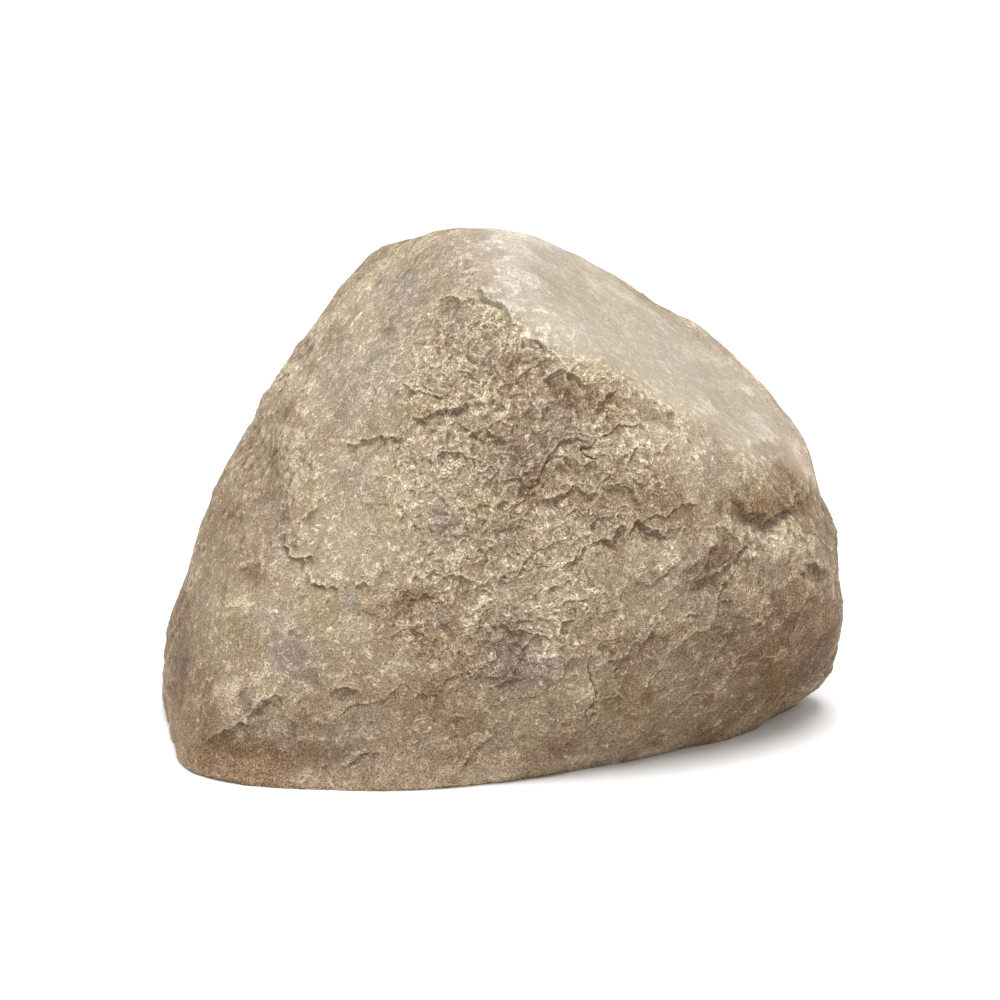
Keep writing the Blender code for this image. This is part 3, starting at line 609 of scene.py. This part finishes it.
# Each point lies along its direction, at the form's radius plus the relief's millimetres.
def stoneSurface(count):
    away = gridDirections(count)
    radius = formRadius(away)
    plain = middle + away * radius[:, None]
    rough = roughness(plain)
    out = swellRelief(away) + brokenRelief(plain, rough) + placedRelief(plain)[0]
    points = middle + away * (radius + out / 1000)[:, None]
    low, high = np.array(cadBox[0]), np.array(cadBox[1])
    points = np.clip(points, low + stoneForm["boxGap"], high - stoneForm["boxGap"])
    points[:, 2] = np.where(plain[:, 2] < stoneForm["footHeight"], low[2], points[:, 2])
    return points


def addObject(name, data):
    thing = bpy.data.objects.new(name, data)
    bpy.context.scene.collection.objects.link(thing)
    return thing


def meshFrom(name, points, squares):
    mesh = bpy.data.meshes.new(name)
    mesh.vertices.add(len(points))
    mesh.vertices.foreach_set("co", points.astype(np.float32).ravel())
    mesh.loops.add(squares.size)
    mesh.loops.foreach_set("vertex_index", squares.astype(np.int32).ravel())
    mesh.polygons.add(len(squares))
    mesh.polygons.foreach_set("loop_start", np.arange(0, squares.size, 4, dtype=np.int32))
    mesh.update(calc_edges=True)
    return mesh


def closeSeams(mesh):   # the six grids meet at doubled points
    work = bmesh.new()
    work.from_mesh(mesh)
    bmesh.ops.remove_doubles(work, verts=work.verts, dist=stoneForm["seamGap"])
    bmesh.ops.dissolve_degenerate(work, dist=1e-6, edges=work.edges)
    bmesh.ops.recalc_face_normals(work, faces=work.faces)
    work.to_mesh(mesh)
    work.free()


def readRows(items, name, width, kind=np.float32):   # one row of values for each vertex or edge
    values = np.empty(len(items) * width, dtype=kind)
    items.foreach_get(name, values)
    return values.reshape(-1, width)


def keepInBox(mesh):   # thinning may move a vertex past the solid's box
    low, high = (np.array(corner, dtype=np.float32) for corner in cadBox)
    points = np.clip(readRows(mesh.vertices, "co", 3), low, high)
    mesh.vertices.foreach_set("co", points.ravel())
    mesh.update()


def buildStone():
    count = stoneForm["grid"]
    fine = meshFrom("boulderSkin", stoneSurface(count), gridSquares(count))
    closeSeams(fine)
    print("stone: fine surface,", len(fine.polygons), "squares")
    skin = addObject("boulderSkin", fine)
    thin = skin.modifiers.new("thin", "DECIMATE")
    thin.ratio = stoneForm["triangles"] / (2.0 * len(fine.polygons))
    thin.use_collapse_triangulate = True
    ready = skin.evaluated_get(bpy.context.evaluated_depsgraph_get())
    mesh = bpy.data.meshes.new_from_object(ready)
    skin.modifiers.clear()
    skin.data = mesh
    bpy.data.meshes.remove(fine)
    mesh.name = "boulderSkin"
    keepInBox(mesh)
    mesh.shade_smooth()
    print("stone: thinned to", len(mesh.polygons), "triangles")
    return skin


# Each round replaces a vertex's value by the mean of its own and its neighbours' values.
def spread(values, edges, rounds):
    count = len(values)
    degree = 1 + np.bincount(edges.ravel(), minlength=count)
    for _ in range(rounds):
        total = values.copy()
        for axis in range(values.shape[1]):
            column = values[:, axis]
            total[:, axis] += np.bincount(edges[:, 0], column[edges[:, 1]], minlength=count)
            total[:, axis] += np.bincount(edges[:, 1], column[edges[:, 0]], minlength=count)
        values = total / degree[:, None]
    return values


# Washes of colour on the front: board place, half length and width, degrees of turn, strength.
washes = {
    "violet": [
        (400, 305, 24, 30, 0, 0.7), (492, 262, 52, 36, -10, 0.8), (520, 450, 34, 26, 20, 0.2),
        (345, 395, 20, 30, 0, 0.6), (385, 375, 20, 28, 0, 0.6),
        (445, 525, 20, 14, 0, 0.7), (350, 602, 9, 16, 0, 0.9), (515, 655, 32, 38, 0, 1.0),
        (288, 652, 18, 16, 0, 0.8), (277, 733, 26, 18, 0, 0.7), (812, 668, 16, 36, 0, 0.8),
        (175, 655, 16, 34, 0, 0.7), (482, 362, 15, 12, 0, 1.0), (560, 420, 20, 16, 0, 0.5),
    ],
    "olive": [
        (410, 260, 16, 14, 0, 0.8), (315, 332, 18, 16, 0, 0.6), (405, 410, 18, 14, 0, 0.7),
        (495, 312, 24, 12, -30, 1.0), (600, 372, 24, 10, 0, 0.9), (478, 508, 16, 12, 0, 0.7),
        (620, 492, 24, 12, 10, 0.8), (605, 700, 18, 14, 0, 0.8), (698, 630, 20, 12, 0, 0.7),
        (785, 670, 14, 12, 0, 0.7), (320, 600, 30, 20, 0, 0.5), (230, 620, 30, 30, 0, 0.5),
    ],
    "rust": [
        (445, 340, 10, 8, 0, 1.0), (610, 408, 14, 10, 0, 1.0), (366, 590, 9, 12, 0, 0.9),
        (415, 595, 28, 12, 0, 0.8), (455, 645, 18, 18, 0, 0.7), (208, 678, 10, 14, 0, 0.9),
        (202, 755, 12, 14, 0, 0.9), (638, 735, 12, 12, 0, 0.7), (768, 505, 26, 16, 0, 1.0),
        (765, 448, 18, 8, 0, 0.8), (292, 420, 10, 12, 0, 0.8), (430, 412, 14, 6, 0, 0.9),
        (250, 578, 14, 10, 0, 0.8),
    ],
    # soil patches, and painted shade in the deep hollows and under the notch's and the curved brow's lips
    "soilAndShade": [
        (575, 398, 40, 24, 0, 0.5), (804, 455, 36, 70, 0, 1.0), (240, 510, 44, 120, 0, 0.4),
        (176, 660, 34, 90, 0, 0.3), (286, 415, 14, 34, 0, 0.4), (590, 500, 90, 90, 0, 0.38),
        (636, 408, 36, 18, -30, 0.3), (483, 362, 14, 12, 0, 0.3), (430, 600, 34, 14, 0, 0.6),
        (235, 762, 44, 22, 0, 0.7), (796, 645, 50, 64, 0, 0.8), (815, 545, 26, 40, 0, 0.3),
        (500, 430, 80, 80, 0, 0.28),
        (780, 640, 90, 90, 0, 0.5), (512, 655, 40, 40, 0, 0.15), (740, 430, 40, 30, 0, 0.15),
        (716, 560, 34, 14, 35, 0.9), (764, 505, 34, 16, 0, 1.0), (725, 705, 70, 50, 0, 0.3),
    ],
    "pale": [
        (350, 330, 90, 120, -20, 0.9), (420, 460, 80, 60, 0, 0.4), (360, 540, 70, 50, 0, 0.4),
        (640, 440, 50, 16, -10, 0.7), (650, 455, 60, 36, 20, 0.75),
    ],
    # cream spots, mostly on the bulges' tops and along the scarp: pale stone and painted highlight
    "creamAndHighlight": [
        (625, 380, 90, 14, -32, 0.4), (448, 592, 10, 9, 0, 0.8), (365, 648, 9, 12, 0, 0.8),
        (304, 530, 6, 8, 0, 0.9), (620, 442, 34, 12, 0, 0.6), (775, 540, 34, 20, 0, 0.5),
        (350, 632, 24, 14, 0, 0.6), (240, 600, 22, 14, 0, 0.5), (545, 650, 14, 12, 0, 0.5),
        (583, 690, 14, 12, 0, 0.5),
    ],
}
maskShape = {
    "fineRounds": 3,                # rounds of spreading, for the small and the larger hollows
    "wideRounds": 24,
    "fineDeep": 0.8,                # mm that count as fully hollow
    "wideDeep": 3.0,
    "washStrays": [(9, 0.05, 61), (5, 0.02, 63)],   # board steps of the rims' wander, metres, seed
    "rim": 0.6,                     # softness of a wash's rim, as a share of its half width
    "scatter": 0.55,                # strength of the washes that fall at random
    "scatterNoise": [(1.0, 0.07, 71), (0.5, 0.025, 81)],
    "scatterLimits": (0.1, 0.7),
    # the darkening towards the ground is soil and painted shade low down
    "soilAndShadeTop": 0.28,                # metres up to which the ground's soil shows
    "soilAndShadeFoot": 0.02,
    "soilAndShadeStrays": [(0.05, 0.12, 65)],
    "soilAndShadeNoise": [(0.15, 0.05, 66)],
    "soilAndShadeShares": (0.8, 0.46),      # of the placed patches and of the height
}


# Masks that the stone finish reads at each vertex, all worked out on the thinned skin. fineHollow
# and hollow are how far the spread-out surface stands before the vertex, below nought behind it.
def addMasks(skin):
    mesh = skin.data
    points = readRows(mesh.vertices, "co", 3).astype(float)
    normals = readRows(mesh.vertices, "normal", 3).astype(float)
    edges = readRows(mesh.edges, "vertices", 2, np.int32)
    fineSpread = spread(points, edges, maskShape["fineRounds"])
    wideSpread = spread(fineSpread, edges, maskShape["wideRounds"] - maskShape["fineRounds"])
    fine = np.einsum("ij,ij->i", fineSpread - points, normals) * 1000
    wide = np.einsum("ij,ij->i", wideSpread - points, normals) * 1000
    away = (points - middle) / np.linalg.norm(points - middle, axis=1, keepdims=True)
    _, gap, hold = placedRelief(middle + away * formRadius(away)[:, None])
    x, y, near = onBoard(points, 0)
    front = smoothStep(near, *stoneForm["sideFade"])
    x = x + noises(points, maskShape["washStrays"])
    y = y + noises(points, maskShape["washStrays"], 1)
    masks = {
        "rough": roughness(points),
        "streaky": streakiness(points),
        "lineGap": gap,
        "lineHold": hold,
        "slope": slopeMask(x, y, near),
        "fineHollow": np.clip(fine / maskShape["fineDeep"], -1, 1),
        "hollow": np.clip(wide / maskShape["wideDeep"], -1, 1),
    }
    for turn, (name, patches) in enumerate(washes.items()):
        value = np.zeros(len(points))
        for *patch, strength in patches:
            value = np.maximum(value, strength * ellipse(x, y, *patch, maskShape["rim"]))
        scattered = noises(points, maskShape["scatterNoise"], turn)
        scattered = smoothStep(scattered, *maskShape["scatterLimits"])
        masks[name] = np.clip(value * front + maskShape["scatter"] * scattered, 0, 1)
    # darker towards the ground: soil, and painted shade low down
    height = points[:, 2] + noises(points, maskShape["soilAndShadeStrays"])
    low = smoothStep(height, maskShape["soilAndShadeTop"], maskShape["soilAndShadeFoot"])
    ofPlaced, ofLow = maskShape["soilAndShadeShares"]
    soilAndShade = ofPlaced * masks["soilAndShade"] + ofLow * low + noises(points, maskShape["soilAndShadeNoise"])
    masks["soilAndShade"] = np.clip(soilAndShade, 0, 1)
    for name, value in masks.items():
        layer = mesh.attributes.new(name, "FLOAT", "POINT")
        layer.data.foreach_set("value", value.astype(np.float32))


stoneFinish = {
    "base": (0.331, 0.250, 0.164),
    "slope": (0.395, 0.343, 0.272),
    "pale": (0.465, 0.382, 0.276),
    # cream: pale stone, and painted highlight on the bulges
    "creamAndHighlight": (0.55, 0.47, 0.33),
    "violet": (0.285, 0.232, 0.195),
    "olive": (0.35, 0.295, 0.165),
    "rust": (0.315, 0.230, 0.140),
    # soil, and painted shade in the hollows and low down
    "soilAndShade": (0.585, 0.455, 0.37),        # multiplies the colour near the ground
    # painted shade in the small pits
    "pitShade": (0.60, 0.52, 0.45),           # multiplies the colour in the small pits
    # painted shade: the near-black brown put in the recesses under lips, under the ledge lines and in the
    # hollows
    "paintedShade": (0.12, 0.08, 0.05),
    # brightens the flecks, and paints highlight on the lips and convex edges
    "fleckAndHighlight": (2.25, 2.42, 2.65),         # multiplies the colour on the threads and lips
    "roughness": 0.9,
    "shine": 0.25,
}
stoneGrain = {   # metres across
    "widePlates": 0.020,
    "closePlates": 0.010,
    "wideThreads": 0.013,
    "closeThreads": 0.0065,
    "wideBreaks": 0.014,                 # where plates and threads leave off
    "closeBreaks": 0.008,
    "grain": 0.0020,
    "speckle": 0.0017,
    "pebbles": 0.011,
    "streaks": 0.006,
    "patches": 0.09,
}
stoneBump = {   # millimetres, or plate sizes made into millimetres
    "widePlates": 12,
    "closePlates": 5.5,
    "pebbles": 1.4,
    "threads": 0.5,
    "grain": 1.3,
    "grainOnStreaks": 1.5,
    "grainOnSoilAndShade": 1.3,
    "speckle": 0.2,
    "speckleOnStreaks": 0.6,
    "streaks": 0.4,
    "ledge": 1.3,
}
plateLean = {"up": (-0.42, -0.2, 0.88), "level": 0.10, "fall": -0.11, "bowl": 0.10}


class Tree:   # short ways to add nodes to one material
    def __init__(self, material):
        material.use_nodes = True
        self.nodes = material.node_tree.nodes
        self.links = material.node_tree.links
        self.shader = self.nodes["Principled BSDF"]

    def put(self, socket, value):
        if isinstance(value, bpy.types.NodeSocket):
            self.links.new(value, socket)
        elif isinstance(value, tuple) and socket.type == "RGBA":
            socket.default_value = (*value, 1.0)
        else:
            socket.default_value = value

    def add(self, kind, values, **settings):   # values are keyed by the input's name or number
        node = self.nodes.new("ShaderNode" + kind)
        for name, setting in settings.items():
            setattr(node, name, setting)
        for key, value in values.items():
            self.put(node.inputs[key], value)
        return node

    def math(self, operation, *values):
        return self.add("Math", dict(enumerate(values)), operation=operation).outputs[0]

    def vector(self, operation, *values):
        node = self.add("VectorMath", dict(enumerate(values)), operation=operation)
        return node.outputs["Value" if operation == "DOT_PRODUCT" else "Vector"]

    def mix(self, share, a, b, blend="MIX"):
        node = self.add("Mix", {0: share}, data_type="RGBA", blend_type=blend, clamp_factor=True)
        self.put(node.inputs[6], a)
        self.put(node.inputs[7], b)
        return node.outputs[2]

    def step(self, value, low, high, toLow=0.0, toHigh=1.0):   # eased from toLow at low to toHigh at high
        values = dict(enumerate((value, low, high, toLow, toHigh)))
        return self.add("MapRange", values, interpolation_type="SMOOTHSTEP").outputs[0]

    def attribute(self, name):
        return self.add("Attribute", {}, attribute_name=name).outputs["Fac"]

    def times(self, first, *others):
        for other in others:
            first = self.math("MULTIPLY", first, other)
        return first

    def plus(self, first, *others):
        for other in others:
            first = self.math("ADD", first, other)
        return first

    def most(self, first, *others):
        for other in others:
            first = self.math("MAXIMUM", first, other)
        return first

    def stretched(self, vector, turn, stretch):   # turned about Y, then drawn out along its own X
        values = {"Vector": vector, "Rotation": (0.0, math.radians(turn), 0.0), "Scale": (stretch, 1.0, 1.0)}
        return self.add("Mapping", values, vector_type="TEXTURE").outputs[0]

    def noise(self, vector, size, detail=2.0, roughness=0.5, colour=False):
        values = {"Vector": vector, "Scale": 1.0 / size, "Detail": detail, "Roughness": roughness}
        return self.add("TexNoise", values).outputs["Color" if colour else "Fac"]

    def stray(self, vector, size, amount):   # vector + amount * (noise colour - 0.5)
        offset = self.noise(vector, size, colour=True)
        start = self.vector("SUBTRACT", vector, (amount / 2,) * 3)
        return self.vector("MULTIPLY_ADD", offset, (amount,) * 3, start)

    def thread(self, value, width):   # 1 on the thin lines where a noise crosses one half
        return self.step(self.math("ABSOLUTE", self.plus(value, -0.5)), width, 0.0)

    def cells(self, vector, size, feature):
        return self.add("TexVoronoi", {"Vector": vector, "Scale": 1.0 / size}, feature=feature).outputs

    # Small plates of the given size: each leans out downwards to a lip, and the next lies below it.
    # Gives its height in plate sizes, 1 along the lips, and 1 in the recess under them.
    def plates(self, vector, size):
        nearest = self.cells(vector, size, "F1")
        rim = self.cells(vector, size, "DISTANCE_TO_EDGE")["Distance"]
        chance = self.vector("DOT_PRODUCT", nearest["Color"], (0.5, 0.5, 0.0))
        level = self.math("MULTIPLY_ADD", chance, plateLean["level"], -plateLean["level"] / 2)
        up = self.vector("DOT_PRODUCT", self.vector("SUBTRACT", vector, nearest["Position"]),
                         tuple(part / size for part in plateLean["up"]))
        bowl = self.times(nearest["Distance"], nearest["Distance"], plateLean["bowl"])
        height = self.plus(self.math("MULTIPLY_ADD", up, plateLean["fall"], level), bowl)
        lip = self.times(self.step(rim, 0.12, 0.02), self.step(up, 0.0, -0.30))
        recess = self.times(self.step(rim, 0.16, 0.0), self.step(up, 0.0, 0.30))
        return height, lip, recess


def stoneMaterial():
    material = bpy.data.materials.new("weatheredSandstone")
    tree = Tree(material)
    times, plus, most, step, noise, mix = tree.times, tree.plus, tree.most, tree.step, tree.noise, tree.mix
    finish, size, high = stoneFinish, stoneGrain, stoneBump

    def darker(share, colour, tint):
        return mix(share, colour, mix(1.0, colour, finish[tint], "MULTIPLY"))

    place = tree.add("TexCoord", {}).outputs["Object"]
    strayed = tree.stray(tree.stray(place, 0.020, 0.014), 0.006, 0.0045)
    ragged = tree.stray(strayed, 0.012, 0.006)
    alongBeds = tree.stretched(strayed, -28, 1.35)
    downSlope = tree.stretched(strayed, 32, 3.0)
    slope, streaky, soilAndShade = tree.attribute("slope"), tree.attribute("streaky"), tree.attribute("soilAndShade")
    fineHollow, hollow = tree.attribute("fineHollow"), tree.attribute("hollow")
    calm = plus(1.0, times(slope, -0.8))
    crumbled = step(tree.attribute("rough"), 0.05, 0.9, 0.15, 1.0)

    # plates of two sizes, and worn threads of two sizes broken up by a wider noise
    wideHeight, wideLip, wideRecess = tree.plates(ragged, size["widePlates"])
    closeHeight, closeLip, closeRecess = tree.plates(alongBeds, size["closePlates"])
    closeBreaks = noise(place, size["closeBreaks"], 2.0, 0.6)
    gaps = step(noise(strayed, size["wideBreaks"], 3.0, 0.6), 0.50, 0.62)
    gapsClose = step(closeBreaks, 0.50, 0.62)
    eitherGap = most(gaps, gapsClose)
    threadWide = tree.thread(noise(strayed, size["wideThreads"], 1.0, 0.5), 0.045)
    threadWide = times(threadWide, gapsClose, step(streaky, 0.9, 0.3, 0.3, 1.0))
    threadClose = times(tree.thread(noise(alongBeds, size["closeThreads"], 1.0, 0.5), 0.075), gaps)
    lips = most(times(wideLip, eitherGap, crumbled), times(closeLip, gaps))
    threads = times(most(lips, threadWide, threadClose), step(closeBreaks, 0.40, 0.55, 0.25))
    grain = noise(alongBeds, size["grain"], 3.0, 0.70)
    speckle = noise(strayed, size["speckle"], 2.0, 0.6)
    pebbles = noise(strayed, size["pebbles"], 4.0, 0.62)
    streaks = noise(downSlope, size["streaks"], 4.0, 0.65)

    # ledges: mm from the line, made ragged, then a painted highlight on the lip over a thin painted shadow
    # line
    lineGap = plus(times(tree.attribute("lineGap"), stoneForm["lineReach"]), times(plus(grain, -0.5), 5.0))
    lineHold = times(step(tree.attribute("lineHold"), 0.15, 0.55), plus(0.25, times(calm, 0.75)))
    lip = times(lineHold, step(tree.math("ABSOLUTE", plus(lineGap, -1.0)), 1.3, 0.2))
    shade = times(lineHold, step(tree.math("ABSOLUTE", plus(lineGap, 1.2)), 1.5, 0.1))

    # bump in millimetres
    plateHeight = plus(times(wideHeight, high["widePlates"]), times(closeHeight, high["closePlates"]))
    plateHeight = times(plateHeight, plus(crumbled, times(soilAndShade, 0.3)))
    grainHigh = plus(high["grain"], times(streaky, high["grainOnStreaks"]), times(soilAndShade, high["grainOnSoilAndShade"]))
    speckleHigh = plus(high["speckle"], times(streaky, high["speckleOnStreaks"]))
    height = plus(plateHeight, times(pebbles, high["pebbles"]), times(threads, high["threads"]),
                  times(grain, grainHigh), times(speckle, speckleHigh))
    height = plus(times(height, calm), times(streaks, high["streaks"]),
                  times(lineHold, step(lineGap, -0.8, 0.5, 0.0, high["ledge"])))
    bump = tree.add("Bump", {"Strength": 1.0, "Distance": 0.001, "Height": height})

    # colour: base, washes, soil near the ground with painted shade in hollows and low down, then painted
    # shade in the small pits, the recesses, under the ledge lines and in the hollows
    patches = noise(place, size["patches"], 4.0, 0.55)
    colour = mix(step(patches, 0.35, 0.65, 0.0, 0.4), finish["base"], finish["pale"])
    colour = mix(times(slope, 0.9), colour, finish["slope"])
    onFaces = plus(0.2, times(calm, 0.6))
    for name in ("pale", "olive", "violet", "rust", "creamAndHighlight"):
        colour = mix(times(tree.attribute(name), onFaces), colour, finish[name])
    # soil near the ground, and painted shade in the hollows and low down
    colour = darker(times(soilAndShade, plus(0.3, times(calm, 0.7))), colour, "soilAndShade")
    # painted shade in the low places of the pebbles and the grain
    colour = darker(times(step(pebbles, 0.50, 0.30), calm, 0.25), colour, "pitShade")
    colour = darker(times(step(grain, 0.52, 0.32), calm, 0.4), colour, "pitShade")
    # painted shade: darkening in the recesses under the plates' lips, under the ledge lines and in the
    # hollows
    recessShade = times(most(times(wideRecess, eitherGap), times(closeRecess, gaps)), crumbled)
    colour = mix(times(recessShade, calm, 0.48), colour, finish["paintedShade"])
    colour = mix(times(shade, 0.5), colour, finish["paintedShade"])
    hollowShade = most(step(hollow, 0.20, 1.0, 0.0, 0.38), step(fineHollow, 0.15, 0.9, 0.0, 0.6))
    colour = mix(times(hollowShade, calm), colour, finish["paintedShade"])

    # then the bright flecks on the threads and streaks, painted highlight on the plates' lips, the ledge
    # lips and the convex edges, and a fine speckle over all
    threadFlecksAndHighlight = times(threads, plus(0.75, times(crumbled, 0.5)), plus(0.25, times(calm, 0.8)),
                      step(hollow, 0.7, 0.0, 0.25, 0.9))
    lipHighlight = times(lip, step(pebbles, 0.40, 0.55, 0.1, 0.8))
    edges = most(step(fineHollow, -0.15, -0.8, 0.0, 0.7), step(hollow, -0.2, -0.9, 0.0, 0.35))
    edgeHighlight = times(edges, step(grain, 0.40, 0.55))
    onStreaks = times(step(streaks, 0.50, 0.70, 0.0, 0.3), slope)
    flecksAndHighlights = most(threadFlecksAndHighlight, lipHighlight, edgeHighlight, onStreaks)
    colour = mix(flecksAndHighlights, colour, mix(1.0, colour, finish["fleckAndHighlight"], "MULTIPLY"))
    speckled = plus(0.6, times(most(crumbled, streaky), 0.5), times(soilAndShade, 0.5))
    speckled = plus(0.2, times(calm, speckled))
    fine = plus(1.0, times(plus(step(speckle, 0.30, 0.70, 0.64, 1.40), -1.0), speckled))
    colour = mix(1.0, colour, fine, "MULTIPLY")

    tree.put(tree.shader.inputs["Base Color"], colour)
    tree.shader.inputs["Roughness"].default_value = finish["roughness"]
    tree.shader.inputs["Specular IOR Level"].default_value = finish["shine"]
    tree.put(tree.shader.inputs["Normal"], bump.outputs[0])
    return material


studio = {
    "floor": (0.90, 0.90, 0.90),
    "floorSize": 40.0,                   # metres
    "sky": 0.68,
    "lampFrom": (8, 74),                 # degrees round, degrees up
    "lampSpread": 28,                    # degrees across, which softens the shadows
    "lampPower": 2.9,
}


def buildStudio():
    half = studio["floorSize"] / 2
    floorMesh = bpy.data.meshes.new("paleFloor")
    floorMesh.from_pydata([(-half, -half, 0), (half, -half, 0), (half, half, 0), (-half, half, 0)],
                          [], [(0, 1, 2, 3)])
    floor = addObject("paleFloor", floorMesh)
    paint = bpy.data.materials.new("palePaint")
    paint.use_nodes = True
    shader = paint.node_tree.nodes["Principled BSDF"]
    shader.inputs["Base Color"].default_value = (*studio["floor"], 1.0)
    shader.inputs["Roughness"].default_value = 0.8
    floorMesh.materials.append(paint)
    sky = bpy.data.worlds.new("softSky")
    sky.use_nodes = True
    tree = sky.node_tree
    seen = tree.nodes.new("ShaderNodeLightPath").outputs["Is Camera Ray"]
    strength = tree.nodes.new("ShaderNodeMapRange")
    strength.inputs["To Min"].default_value = studio["sky"]
    strength.inputs["To Max"].default_value = 1.0
    tree.links.new(seen, strength.inputs["Value"])
    tree.nodes["Background"].inputs["Color"].default_value = (1.0, 1.0, 1.0, 1.0)
    tree.links.new(strength.outputs["Result"], tree.nodes["Background"].inputs["Strength"])
    bpy.context.scene.world = sky
    lamp = bpy.data.lights.new("softLamp", "SUN")
    lamp.angle = math.radians(studio["lampSpread"])
    lamp.energy = studio["lampPower"]
    away = Vector(-facing(*studio["lampFrom"]))
    addObject("softLamp", lamp).rotation_euler = away.to_track_quat("-Z", "Y").to_euler()
    bpy.context.scene.view_settings.view_transform = "Standard"


def buildCamera():
    camera = addObject("viewer", bpy.data.cameras.new("viewer"))
    camera.location = middle + facing(0, viewer["up"]) * viewer["away"]
    camera.rotation_euler = (math.radians(90 - viewer["up"]), 0, 0)
    camera.data.lens = camera.data.sensor_width * viewer["away"] / viewer["step"]   # 1000 steps wide
    bpy.context.scene.camera = camera


skin = buildStone()
addMasks(skin)
skin.data.materials.append(stoneMaterial())
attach(skin, "root")
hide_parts("boulder")
print("stone: finished")
buildStudio()
buildCamera()
print("studio: finished")
